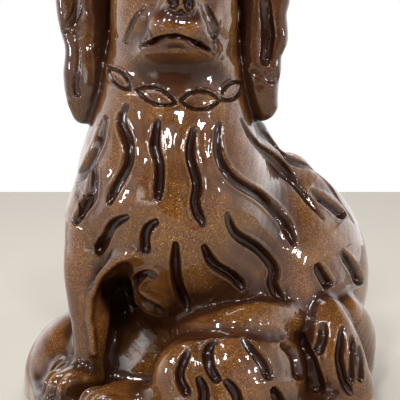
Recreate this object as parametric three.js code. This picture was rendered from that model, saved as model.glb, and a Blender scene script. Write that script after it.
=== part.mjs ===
/*
 * A seated spaniel in brown-glazed pottery, cast in one piece with a low oval base.
 *
 * Millimetres, +Z up. The face looks along -Y. The body is turned BODY_TURN to the viewer's left, so the
 * chest, the near flank and the near haunch all show from the front.
 *
 * The form is one distance field: negative inside the pottery, positive outside. Balls, limbs and the base
 * slab are melted together with soft unions, and the locks of hair are cut into the field as strokes. The
 * field is then faceted with tetrahedra, and the facets are merged where the surface is smooth.
 */
import * as THREE from 'three';

const DEGREE = Math.PI / 180;

// The stance
const BODY_TURN = 50 * DEGREE;
const FORWARD = [-Math.sin(BODY_TURN), -Math.cos(BODY_TURN), 0];
const LEFT = [Math.cos(BODY_TURN), -Math.sin(BODY_TURN), 0];
const UP = [0, 0, 1];
const BODY_AXES = [FORWARD, LEFT, UP];
const ROOM_AXES = [[1, 0, 0], [0, 1, 0], [0, 0, 1]];

// The base
const BASE_HIGH = 12.5;
const BASE_CENTRE = [2, -11];
const BASE_HALF_LONG = 88;
const BASE_HALF_WIDE = 75;
const BASE_EDGE_ROUND = 4;

// The head
const HEAD_X = -12;
const MUZZLE_X = -9;
const NOSE_X = -7.8;

// The front sheet: a drawing held DRAWING_AWAY in front of the viewer's eye, square to the line of sight.
// The locks are drawn on it in millimetres right of and above the line of sight.
const EYE = [0, -460, 168];
const EYE_DOWN = 9.1 * DEGREE;
const DRAWING_AWAY = 460;

// The back sheets: cylinders about the body and the head, unrolled to millimetres round from the back,
// and height.
const BODY_WRAP = { centre: [12, -14], radius: 55 };
const HEAD_WRAP = { centre: [-12, -24], radius: 30 };

// The faceting
const CELL = 1.5;
const LARGEST_BLOCK = 8;
const STEEPEST_FIELD = 1.5;
const BOX_LOW = [-110, -111, -0.9];
const BOX_HIGH = [106, 86, 239];
const FACETS = 9400;
const CARVING_DEEPEST = 4.5;
const CARVING_HIGHEST = 1.6;
const SLOPE_STEP = 0.5;
const FACING_FADE = 0.3;

const clamp = (value, low = 0, high = 1) => Math.min(high, Math.max(low, value));
const mix = (a, b, t) => a + (b - a) * t;
const dot = (a, b) => a[0] * b[0] + a[1] * b[1] + a[2] * b[2];

/** Melts two distances together over the width `blend`. */
function softUnion(a, b, blend) {
  if (blend <= 0) {
    return Math.min(a, b);
  }
  const h = clamp(0.5 + (0.5 * (b - a)) / blend);
  return mix(b, a, h) - blend * h * (1 - h);
}

const softCut = (a, b, blend) => -softUnion(-a, b, blend);

/** Runs a smooth curve through knots of any number of coordinates, `per` steps to a span. */
function smoothCurve(knots, per) {
  if (knots.length === 2) {
    return knots;
  }
  const beyond = (end, next) => end.map((value, i) => 2 * value - next[i]);
  const last = knots.length - 1;
  const run = [beyond(knots[0], knots[1]), ...knots, beyond(knots[last], knots[last - 1])];
  const points = [];
  for (let span = 0; span < last; span += 1) {
    const [p0, p1, p2, p3] = run.slice(span, span + 4);
    for (let step = 0; step < per; step += 1) {
      const t = step / per;
      points.push(p1.map((value, i) => 0.5 * (2 * value + (p2[i] - p0[i]) * t
        + (2 * p0[i] - 5 * value + 4 * p2[i] - p3[i]) * t * t
        + (3 * value - p0[i] - 3 * p2[i] + p3[i]) * t ** 3)));
    }
  }
  points.push(knots[last]);
  return points;
}

/** A stretched ball, its radii along three axes. */
class Ball {
  constructor(centre, radii, axes = ROOM_AXES) {
    Object.assign(this, { centre, radii, axes });
    const reach = Math.max(...radii);
    this.low = centre.map((c) => c - reach);
    this.high = centre.map((c) => c + reach);
  }

  distance(point) {
    const from = [point[0] - this.centre[0], point[1] - this.centre[1], point[2] - this.centre[2]];
    let unit = 0;
    let slope = 0;
    for (let i = 0; i < 3; i += 1) {
      const along = dot(from, this.axes[i]) / this.radii[i];
      unit += along * along;
      slope += (along / this.radii[i]) ** 2;
    }
    unit = Math.sqrt(unit);
    return (unit * (unit - 1)) / Math.max(Math.sqrt(slope), 1e-9);
  }
}

/**
 * A round limb along a smooth curve. Each knot is x, y, z and the radius there. Each span is the skin of a
 * ball rolled from one radius to the next.
 */
class Limb {
  constructor(knots, per = 3) {
    this.points = smoothCurve(knots, per);
    this.low = [0, 1, 2].map((i) => Math.min(...this.points.map((p) => p[i] - p[3])));
    this.high = [0, 1, 2].map((i) => Math.max(...this.points.map((p) => p[i] + p[3])));
  }

  distance(point) {
    let nearest = Infinity;
    for (let i = 0; i + 1 < this.points.length; i += 1) {
      const [ax, ay, az, ar] = this.points[i];
      const [bx, by, bz, br] = this.points[i + 1];
      const along = [bx - ax, by - ay, bz - az];
      const from = [point[0] - ax, point[1] - ay, point[2] - az];
      const length = Math.hypot(...along);
      const narrowing = clamp((ar - br) / length, -0.95, 0.95);
      const slant = narrowing / Math.sqrt(1 - narrowing * narrowing);
      const far = dot(from, along) / length;
      const off = Math.sqrt(Math.max(dot(from, from) - far * far, 0));
      const seat = clamp(far - off * slant, 0, length);
      nearest = Math.min(nearest, Math.hypot(off, far - seat) - (ar - narrowing * seat));
    }
    return nearest;
  }
}

/** A block between flat faces, its edges rounded. Each face is a point on it and the way it faces. */
class Wedge {
  constructor(centre, reach, faces, round) {
    this.round = round;
    this.faces = faces.map(([spot, facing]) => {
      const size = Math.hypot(...facing);
      return { spot, normal: facing.map((value) => value / size) };
    });
    this.low = centre.map((c) => c - reach);
    this.high = centre.map((c) => c + reach);
  }

  distance(point) {
    let value = -Infinity;
    for (const { spot, normal } of this.faces) {
      const out = dot([point[0] - spot[0], point[1] - spot[1], point[2] - spot[2]], normal);
      value = value === -Infinity ? out : softCut(value, -out, this.round);
    }
    return value;
  }
}

/** The oval slab of the base, its rim rounded over at the top. */
class Slab {
  constructor(centre, halfLong, halfWide, high, round) {
    Object.assign(this, { centre, halfLong, halfWide, top: high, round });
    this.low = [centre[0] - halfLong, centre[1] - halfLong, -5];
    this.high = [centre[0] + halfLong, centre[1] + halfLong, high];
  }

  distance(point) {
    const from = [point[0] - this.centre[0], point[1] - this.centre[1], 0];
    const out = Math.hypot(dot(from, FORWARD) / this.halfLong, dot(from, LEFT) / this.halfWide);
    const side = ((out - 1) * (this.halfLong + this.halfWide)) / 2;
    return -softUnion(-side, this.top - point[2], this.round);
  }
}

/** Where a point of the figure lies on the front sheet. */
function onFront(point) {
  const x = point[0] - EYE[0];
  const y = point[1] - EYE[1];
  const z = point[2] - EYE[2];
  const away = y * Math.cos(EYE_DOWN) - z * Math.sin(EYE_DOWN);
  const above = y * Math.sin(EYE_DOWN) + z * Math.cos(EYE_DOWN);
  return [(DRAWING_AWAY * x) / away, (DRAWING_AWAY * above) / away];
}

/** Where a point of the figure lies on a back sheet. */
function onBack(point, { centre, radius }) {
  const round = Math.atan2(point[0] - centre[0], point[1] - centre[1]);
  return [round * radius, point[2]];
}

/** A tool stroke: a round-bottomed groove with tapered ends and a soft hollow around it. */
class Stroke {
  constructor(path, { half = 3, depth = 2.5, taper = 0.3, swell = 0.16, back = false } = {}) {
    Object.assign(this, { half, depth, taper, swell, back });
    this.points = smoothCurve(path, 4);
    this.run = [0];
    for (let i = 1; i < this.points.length; i += 1) {
      const [a, b] = [this.points[i - 1], this.points[i]];
      this.run.push(this.run[i - 1] + Math.hypot(b[0] - a[0], b[1] - a[1]));
    }
    const margin = half * 3.2 + 3;
    this.low = [0, 1].map((i) => Math.min(...this.points.map((p) => p[i])) - margin);
    this.high = [0, 1].map((i) => Math.max(...this.points.map((p) => p[i])) + margin);
  }

  relief(spot) {
    let nearest = Infinity;
    let place = 0;
    for (let i = 0; i + 1 < this.points.length; i += 1) {
      const [ax, ay] = this.points[i];
      const dx = this.points[i + 1][0] - ax;
      const dy = this.points[i + 1][1] - ay;
      const t = clamp(((spot[0] - ax) * dx + (spot[1] - ay) * dy) / (dx * dx + dy * dy));
      const away = Math.hypot(spot[0] - ax - t * dx, spot[1] - ay - t * dy);
      if (away < nearest) {
        nearest = away;
        place = mix(this.run[i], this.run[i + 1], t);
      }
    }
    const along = place / this.run[this.run.length - 1];
    const ends = clamp(along / this.taper) * clamp((1 - along) / (this.taper * 0.4));
    const fade = Math.sqrt(ends);
    const across = nearest / (1.15 * this.half * (0.6 + 0.4 * fade));
    const cut = clamp(1 - across * across) ** 2;
    const hollow = Math.exp(-((nearest / (2.6 * this.half)) ** 2)) * this.swell;
    return this.depth * fade * (cut + hollow);
  }
}

/** One link of the collar: a pointed oval drawn with a narrow groove. */
class Link {
  constructor(centre, halfLong, halfHigh, tilt, width = 1.6, depth = 1.6) {
    Object.assign(this, { centre, width, depth, back: false });
    this.cos = Math.cos(tilt * DEGREE);
    this.sin = Math.sin(tilt * DEGREE);
    this.bow = (halfLong ** 2 + halfHigh ** 2) / (2 * halfHigh);
    this.offset = this.bow - halfHigh;
    this.low = centre.map((c) => c - halfLong - 2);
    this.high = centre.map((c) => c + halfLong + 2);
  }

  relief(spot) {
    const [fx, fy] = [spot[0] - this.centre[0], spot[1] - this.centre[1]];
    const along = fx * this.cos + fy * this.sin;
    const across = Math.abs(-fx * this.sin + fy * this.cos);
    const line = Math.abs(Math.hypot(along, across + this.offset) - this.bow);
    return this.depth * clamp(1 - (line / this.width) ** 2);
  }
}

/**
 * One region of the figure: shapes melted together, what is cut from them, the trims added after the cuts,
 * and the strokes on them. Front strokes stop at the depth frontLimit, and back strokes start at backLimit.
 */
class Region {
  constructor({
    shapes, cuts = [], trims = [], strokes = [], blend = 5, frontLimit = 20, backLimit = -30, wrap = BODY_WRAP,
  }) {
    Object.assign(this, { shapes, cuts, trims, strokes, blend, frontLimit, backLimit, wrap });
    this.low = [0, 1, 2].map((i) => Math.min(...shapes.map(([shape]) => shape.low[i])));
    this.high = [0, 1, 2].map((i) => Math.max(...shapes.map(([shape]) => shape.high[i])));
  }

  /** How far the point lies outside the region's box. */
  boxDistance(point) {
    let sum = 0;
    for (let i = 0; i < 3; i += 1) {
      const out = Math.max(this.low[i] - point[i], point[i] - this.high[i], 0);
      sum += out * out;
    }
    return Math.sqrt(sum);
  }

  /**
   * The depth of the carving at a point of the uncarved surface. Front strokes fade out where the surface
   * turns away from the eye.
   */
  carving(point, normal) {
    const front = onFront(point);
    const back = onBack(point, this.wrap);
    const toEye = [EYE[0] - point[0], EYE[1] - point[1], EYE[2] - point[2]];
    const toward = dot(normal, toEye) / Math.hypot(...toEye);
    const facing = clamp((this.frontLimit - point[1]) / 8) * clamp(toward / FACING_FADE);
    const behind = clamp((point[1] - this.backLimit) / 14);
    let groove = 0;
    let bead = 0;
    for (const stroke of this.strokes) {
      const spot = stroke.back ? back : front;
      const inside = spot[0] > stroke.low[0] && spot[0] < stroke.high[0]
        && spot[1] > stroke.low[1] && spot[1] < stroke.high[1];
      if (inside) {
        const relief = stroke.relief(spot) * (stroke.back ? behind : facing);
        groove = Math.max(groove, relief);
        bead = Math.min(bead, relief);
      }
    }
    return groove + bead;
  }

  plainDistance(point) {
    let value = Infinity;
    for (const [shape, blend] of this.shapes) {
      value = value === Infinity ? shape.distance(point) : softUnion(value, shape.distance(point), blend);
    }
    for (const [shape, blend] of this.cuts) {
      value = softCut(value, shape.distance(point), blend);
    }
    for (const [shape, blend] of this.trims) {
      value = softUnion(value, shape.distance(point), blend);
    }
    return value;
  }

  /** The distance with the carving, whose depth is read at the nearest point of the uncarved surface. */
  distance(point) {
    const far = this.boxDistance(point);
    if (far > 14) {
      return far;
    }
    const value = this.plainDistance(point);
    if (this.strokes.length === 0 || value < -CARVING_DEEPEST || value > CARVING_HIGHEST) {
      return value;
    }
    const slope = [0, 1, 2].map((i) => {
      const ahead = [...point];
      ahead[i] += SLOPE_STEP;
      return (this.plainDistance(ahead) - value) / SLOPE_STEP;
    });
    const steepness = Math.max(dot(slope, slope), 0.1);
    const foot = point.map((place, i) => place - (value * slope[i]) / steepness);
    return value + this.carving(foot, slope.map((rise) => rise / Math.sqrt(steepness)));
  }
}

/** Staggered rows of S-shaped locks round a back sheet, plainer than the front. */
function rowsOfLocks({ wrap, heights, columns, spread, length, sway, half = 3.0, depth = 2.2 }) {
  const strokes = [];
  heights.forEach((height, row) => {
    for (let column = 0; column < columns; column += 1) {
      const stagger = row % 2 === 0 ? 0 : 0.5;
      const turn = mix(-spread, spread, (column + stagger) / (columns - 1));
      const round = turn * DEGREE * wrap.radius;
      const long = length * (1 + 0.12 * Math.sin(2.3 * row + 1.7 * column));
      const lean = sway * (turn > 0 ? 1 : -1);
      strokes.push(new Stroke([
        [round, height + long / 2],
        [round + lean * 0.1, height + long / 6],
        [round + lean, height - long / 6],
        [round + lean * 1.5, height - long / 2],
      ], { half, depth, back: true }));
    }
  });
  return strokes;
}

/** A foot with its toes set side by side. */
function foot({ centre, halfLong, halfWide, toes, toeReach }) {
  const halfHigh = centre[2] - BASE_HIGH + 1.5;
  const shapes = [[new Ball(centre, [halfLong, halfWide, halfHigh], BODY_AXES), 5]];
  for (const side of toes) {
    const ahead = toeReach - Math.abs(side) * 0.28;
    const tip = [0, 1].map((i) => centre[i] + FORWARD[i] * ahead + LEFT[i] * side);
    shapes.push([new Ball([...tip, centre[2] - 0.8], [7, 3.6, halfHigh - 0.8], BODY_AXES), 1.6]);
  }
  return shapes;
}

/** The hollow between the foreleg and the belly, up to the elbow. */
function elbowArch() {
  return new Limb([
    [-30.5, -66.5, 79.5, 1.6], [-34.5, -61.5, 75, 3.6], [-37.2, -58, 68, 5.6], [-37.2, -50, 62, 7],
    [-37, -42, 58, 7.5], [-37, -33, 53, 7.5],
  ]);
}

/** The groove between the roll of the flank and the furry haunch. */
function foldGroove() {
  const path = [[-14.3, -70.3], [-7.4, -66.8], [-2, -65.4], [7.4, -64.4], [19.7, -64.4], [30.5, -66], [42, -67.5]];
  return new Stroke(path, { half: 2.6, depth: 2.2, taper: 0.2, swell: 0.1 });
}

function torso() {
  const shapes = [
    [new Ball([25, 11, 52], [66.5, 57, 65], BODY_AXES), 0],
    [new Ball([-12, -28, 98], [43, 45, 49]), 20],
    [new Limb([[-14, -24, 112, 40], [HEAD_X, -25, 168, 29.5]]), 14],
    [new Ball([-19, -45, 64], [12, 12, 15]), 6],
    [new Ball([-36, -10, 54], [14, 13, 22]), 6],
  ];
  const maneLocks = [
    [[15, -22, 137, 6], [23, -13, 129.5, 8], [28, -8, 122.5, 8], [34, -2, 115.5, 6.5], [38, 5, 106, 3]],
    [[35, -8, 115, 5], [46, 3, 109.5, 7.5], [53, 10, 102, 6], [58, 15, 94, 3]],
  ];
  maneLocks.forEach((lock) => shapes.push([new Limb(lock), 2.5]));
  const maneCrest = [[18, -27, 131, 4], [33, -14, 117, 5], [43.8, -6, 109.3, 5], [56, 3, 102, 5], [65, 10, 92.5, 4]];
  shapes.push([new Limb(maneCrest), 5]);
  const chestLocks = [
    [[-36, 47.5], [-39, 39], [-35.5, 28], [-36, 18], [-43, 4.5], [-45, -2.5]],
    [[-20.5, 40.5], [-22.5, 28], [-20, 16.5], [-21, -0.5]],
    [[-3, 36.5], [-4.5, 23], [-1, 8], [-2, -2], [2, -13]],
    [[9.5, 39], [9.5, 23], [17, 10.5], [32, 0.5], [42, -11], [46.5, -22.5]],
    [[-35, -8], [-44, -13], [-48.5, -23], [-48, -28.5]],
    [[57.5, -31], [60, -36], [64, -43]],
  ];
  const maneLock = [[36, 19], [43, 12], [50, 3.5], [61, -9.5]];
  const edgeLocks = [
    [[-46, 42], [-50.5, 28], [-55.5, 18], [-61, 8]],
    [[-52, 20.5], [-53, 8], [-54.5, -0.5], [-62, -12]],
    [[54, 5.5], [65, -2], [72, -8.5]],
    [[69.5, -24.5], [76, -33.5], [79.5, -42]],
  ];
  const bellyLocks = [
    [[13, -6], [18, -17], [29.5, -24.5], [36.5, -33.5], [36, -42], [41, -52]],
    [[1.5, -22], [7, -32], [17, -38.5], [22, -44.5]],
    [[-12, -20.5], [-12, -33.5], [-10.5, -43], [-5.5, -54.5]],
    [[-20.5, -10], [-26, -14.5], [-27.5, -20], [-26.8, -27]],
    [[-21, -39], [-26, -36.8], [-31.4, -39.6], [-34, -43.7], [-31.4, -49], [-23, -54], [-16, -56]],
  ];
  const collar = [
    new Link([-39.5, 59.5], 7.3, 3.0, -45),
    new Link([-21.5, 51], 10.0, 3.7, -20),
    new Link([0, 49], 9.2, 4.4, 0),
    new Link([15.5, 53.5], 6.4, 3.6, 40),
  ];
  const strokes = [
    ...chestLocks.map((path) => new Stroke(path)),
    new Stroke(maneLock, { depth: 2.8 }),
    ...bellyLocks.map((path) => new Stroke(path, { depth: 2.8 })),
    ...edgeLocks.map((path) => new Stroke(path, { half: 2.6, depth: 3.2 })),
    ...collar,
    ...rowsOfLocks({ wrap: BODY_WRAP, heights: [40, 68, 96], columns: 8, spread: 100, length: 26, sway: 5 }),
  ];
  const maneGroove = new Limb([
    [17.8, -45.5, 137.5, 1.8], [21.2, -45, 129, 3.2], [25, -40, 122.5, 4], [32.5, -29, 115, 4.4],
    [38.5, -22, 109.5, 4.2], [43.5, -19.5, 104, 3],
  ]);
  return new Region({ shapes, cuts: [[elbowArch(), 3], [maneGroove, 1]], strokes, backLimit: -4 });
}

function forelegs() {
  const nearLeg = [[-41.5, -34, 92, 20.5], [-50, -41, 66, 12.3], [-50.5, -43, 42, 8.4], [-51.5, -44, 26, 6.6]];
  const farLeg = [[-41, -22, 90, 17], [-51.5, -28, 66, 12], [-51.5, -30, 42, 8.4], [-52.5, -31, 26, 6.8]];
  const toes = [-5.4, 0, 5.4];
  const shapes = [
    [new Limb(nearLeg), 0],
    [new Limb(farLeg), 3],
    ...foot({ centre: [-56, -50, 18.5], halfLong: 14, halfWide: 8.6, toes, toeReach: 9 }),
    ...foot({ centre: [-56, -36, 18.5], halfLong: 14, halfWide: 8.6, toes, toeReach: 9 }),
  ];
  const castingRidge = [
    [-28.4, -66.7, 81.6, 0.9], [-31.4, -64.7, 80, 1.2], [-37.2, -59.8, 76.6, 1.3], [-43.6, -56.2, 70, 1.4],
    [-47.4, -54, 62, 1.4], [-49, -53, 57.5, 1.3], [-49.8, -52.4, 48.5, 1.3], [-48.9, -52.2, 42.5, 1.3],
    [-48.2, -51.2, 32, 1.2],
  ];
  return new Region({ shapes, cuts: [[elbowArch(), 3]], trims: [[new Limb(castingRidge), 2]], blend: 6 });
}

function farHaunch() {
  const shapes = [
    [new Ball([-51.5, -3, 8], [39, 31, 33], BODY_AXES), 0],
    [new Ball([-24, -19, 22], [22, 18, 28]), 14],
  ];
  return new Region({ shapes, blend: 7 });
}

function nearHaunch() {
  const shapes = [
    [new Ball([15, -58, 20], [38, 27, 34], BODY_AXES), 0],
    [new Ball([-8, -76, 27], [11, 11, 17]), 9],
    [new Limb([[4, -76, 16, 10], [-20, -73, 16, 8]]), 6],
    ...foot({
      centre: [-35, -70, 17.8], halfLong: 17, halfWide: 10.5, toes: [-7.6, -2.6, 2.6, 7.6], toeReach: 11,
    }),
  ];
  const tufts = [
    [[8.5, -68], [4, -73], [5, -82], [9.5, -90]],
    [[20, -66], [26, -73], [32, -81], [34.5, -88.5]],
    [[40, -70], [47, -76], [49.5, -88.5]],
    [[-5.5, -73], [-10.5, -86], [-5.5, -97]],
    [[12, -88], [18, -95], [20, -104]],
    [[-1, -86], [2, -95], [1, -104]],
    [[36, -92], [40, -100], [40, -108]],
  ];
  const strokes = tufts.map((path) => new Stroke(path, { half: 2.6, depth: 2.6 }));
  strokes.push(foldGroove());
  return new Region({ shapes, strokes, blend: 4 });
}

function flankFold() {
  const fold = [[-10, -52, 42, 2.5], [-2, -59, 47, 4.5], [19, -61, 51.5, 6.5], [36, -50, 49, 6], [48, -38, 41, 4]];
  return new Region({ shapes: [[new Limb(fold), 0]], strokes: [foldGroove()], blend: 7 });
}

function tail() {
  const shapes = [
    [new Limb([[74, 22, 17, 10], [76, 2, 23, 13], [72, -14, 33, 13], [67, -24, 41, 12]]), 0],
    [new Ball([71.5, -14, 17], [17, 13, 17], BODY_AXES), 6],
    [new Limb([[58, -36, 45, 10], [60, -41, 32, 14.5], [64, -41, 18, 15], [68, -38, 10, 14]]), 3],
  ];
  const locks = [
    [[67, -59.5], [63.5, -73], [68.5, -86], [72, -93.5]],
    [[72.5, -63], [71, -77], [74.5, -91]],
    [[48.7, -60], [48.2, -66.5], [50, -73.5], [53.5, -80.5], [56.5, -91], [58, -98]],
    [[78.5, -71.5], [77.5, -83], [79, -93]],
  ];
  const strokes = locks.map((path) => new Stroke(path, { half: 2.1, depth: 2.4 }));
  return new Region({ shapes, strokes, blend: 3, frontLimit: -20 });
}

function head() {
  const muzzle = new Wedge([MUZZLE_X, -50, 184], 30, [
    [[-8.5, -69.5, 182], [0, -0.975, -0.22]],
    [[-20.3, -62, 177.5], [-0.92, -0.24, 0.3]],
    [[3.3, -62, 177.5], [0.94, -0.12, 0.31]],
    [[-8, -66, 193.5], [0, -0.55, 0.835]],
    [[-9, -60, 168], [0, -0.3, -0.95]],
    [[-9, -40, 180], [0, 1, 0]],
  ], 6);
  const shapes = [
    [new Ball([HEAD_X, -25, 205], [29.5, 29, 28.5]), 0],
    [new Ball([HEAD_X + 0.5, -36, 184], [27.5, 26, 22]), 12],
    [muzzle, 4],
    [new Ball([MUZZLE_X - 0.5, -55, 168.8], [16, 12, 6.4]), 4],
    [new Ball([NOSE_X, -68.5, 188.5], [6.4, 4.6, 4.6]), 2.5],
  ];
  const throat = new Ball([MUZZLE_X - 1, -67, 156.3], [20, 13.5, 6.6]);
  const cuts = [[throat, 6]];
  const trims = [];
  const eyesMiddle = MUZZLE_X - 1.2;
  const brow = [[4.5, -56, 207], [10, -56.5, 209.5], [16, -54, 208.5], [21, -48.5, 203]];
  const lid = [[6.5, -56.5, 196.5], [12, -56.5, 194.2], [18, -52.5, 197]];
  for (const side of [-1, 1]) {
    shapes.push([new Ball([MUZZLE_X - 0.7 + side * 14.4, -54, 181], [3.4, 4, 5.4]), 3]);
    cuts.push([new Ball([NOSE_X + side * 3.3, -73.6, 187], [2.5, 4.4, 2.6]), 0.7]);
    cuts.push([new Ball([eyesMiddle + side * 13.5, -60.5, 199.5], [7.5, 8, 6]), 4]);
    trims.push([new Limb(brow.map(([x, y, z]) => [eyesMiddle + side * x, y, z, 2.3])), 2.5]);
    trims.push([new Limb(lid.map(([x, y, z]) => [eyesMiddle + side * x, y, z, 1.8])), 2]);
    trims.push([new Ball([eyesMiddle + side * 12.5, -51.8, 200.2], [4.8, 4.8, 4.4]), 0.6]);
  }
  const mouth = [[-29.5, 76.5], [-24, 78.8], [-17.5, 79.6], [-12, 81.5], [-5, 80.8], [0, 78], [5.5, 73]];
  const folds = [
    [[-25, 98.5], [-31.5, 90.5], [-31, 83], [-34, 75], [-33, 66]],
    [[3, 97], [7.5, 90.5], [7.5, 82], [8, 72]],
  ];
  const foreheadHair = [
    [[-12.8, 143], [-12.6, 133], [-12, 122]],
    [[-22, 143], [-30, 135], [-36, 123]],
    [[-3.5, 143], [5, 135], [11, 123]],
  ];
  const strokes = [
    new Stroke(mouth, { half: 2.1, depth: 2.8, taper: 0.12, swell: 0.2 }),
    ...foreheadHair.map((path) => new Stroke(path, { half: 2.2, depth: 1.6 })),
    ...folds.map((path) => new Stroke(path, { half: 2.1, depth: 1.5 })),
    ...rowsOfLocks({
      wrap: HEAD_WRAP, heights: [182, 206], columns: 6, spread: 110, length: 22, sway: 3, half: 2.6, depth: 1.6,
    }),
  ];
  return new Region({
    shapes, cuts, trims, strokes, blend: 8, frontLimit: -20, backLimit: -40, wrap: HEAD_WRAP,
  });
}

/**
 * A long ear: a broad inner lobe, a wavy outer roll and a flat backing, with the grooves between them.
 * side is -1 at the viewer's left and 1 at the right.
 */
function ear(side) {
  const lobes = side < 0 ? [
    [[-36, -20, 219, 6], [-46, -22, 207, 6.5], [-52, -24, 192, 6], [-50.5, -25, 180, 5.6], [-51, -26, 168, 6.8],
      [-50.5, -27, 156, 7.2], [-51.5, -26, 146, 6.4], [-52.5, -24, 139.5, 4.5]],
    [[-40, -21, 220, 5.5], [-53, -23, 209, 6.5], [-59.5, -24, 196, 5.8], [-60, -25, 184.5, 5.2],
      [-59.2, -25, 177, 4.4], [-57.8, -26, 168, 4.0], [-58, -26, 156.5, 4.8], [-57.5, -25, 146, 4.3],
      [-54.5, -24, 139.5, 4.4]],
    [[-34, -17, 216, 7], [-44, -17, 200, 7.5], [-49, -18, 185, 8.5], [-49, -19, 168, 8.5], [-50, -20, 152, 8],
      [-49.5, -21, 142, 5.5]],
  ] : [
    [[12, -20, 219, 6], [21, -22, 207, 6.5], [26.2, -24, 192, 5.8], [25, -25, 180, 5.4], [24.8, -26, 168, 5.2],
      [25.3, -27, 159, 5.4], [27, -26, 150, 5.8], [29, -24, 142, 5.4]],
    [[16, -21, 220, 5.5], [29, -23, 209, 6.2], [35.5, -24, 195, 5.6], [34.6, -25, 184, 5.0],
      [35.6, -25, 174, 4.8], [33.4, -26, 166.5, 4.2], [32.8, -26, 160, 4.4], [31.2, -26, 152, 4.6],
      [30.5, -24, 144, 4.8]],
    [[10, -17, 216, 7], [20, -17, 200, 7.5], [25.5, -18, 185, 8.5], [25.5, -19, 168, 8.5], [26.5, -20, 152, 8],
      [27.5, -21, 142, 5.5]],
  ];
  const grooves = side < 0 ? [
    { path: [[-59.5, 98], [-60, 89.5], [-62.4, 82.6], [-60.6, 76.2], [-60.2, 66.4], [-59.5, 58.5], [-60.2, 52.1],
      [-61.9, 47.2]], depth: 1.3 },
    { path: [[-54, 104], [-55.5, 92], [-53.5, 80]], depth: 0.9 },
    { path: [[-54.5, 68], [-55.5, 58], [-54.5, 48]], depth: 0.9 },
  ] : [
    { path: [[32, 104], [32.4, 94.4], [32.9, 88.5], [33.9, 78.6], [32.9, 71.3], [31.9, 66]], depth: 1.8 },
    { path: [[26, 63.5], [32.4, 60.9], [38.5, 59.3]], depth: 1.4 },
    { path: [[29.5, 58.5], [33.4, 54], [36.5, 48]], depth: 1.1 },
  ];
  const shapes = lobes.map((lobe) => [new Limb(lobe, 2), 1.6]);
  const strokes = grooves.map(({ path, depth }) => new Stroke(path, {
    half: 1.2 + 0.8 * depth, depth, taper: 0.15, swell: 0.1,
  }));
  return new Region({ shapes, strokes, blend: 2.5, frontLimit: 60 });
}

function base() {
  const slab = new Slab(BASE_CENTRE, BASE_HALF_LONG, BASE_HALF_WIDE, BASE_HIGH, BASE_EDGE_ROUND);
  return new Region({ shapes: [[slab, 0]], blend: 7 });
}

/** The whole figure's field, cut off flat underneath. */
function figureField() {
  const regions = [
    torso(), forelegs(), farHaunch(), nearHaunch(), flankFold(), tail(), head(), ear(-1), ear(1), base(),
  ];
  return (point) => {
    let value = regions[0].distance(point);
    for (let i = 1; i < regions.length; i += 1) {
      value = softUnion(value, regions[i].distance(point), regions[i].blend);
    }
    return Math.max(value, -point[2]);
  };
}

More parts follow.
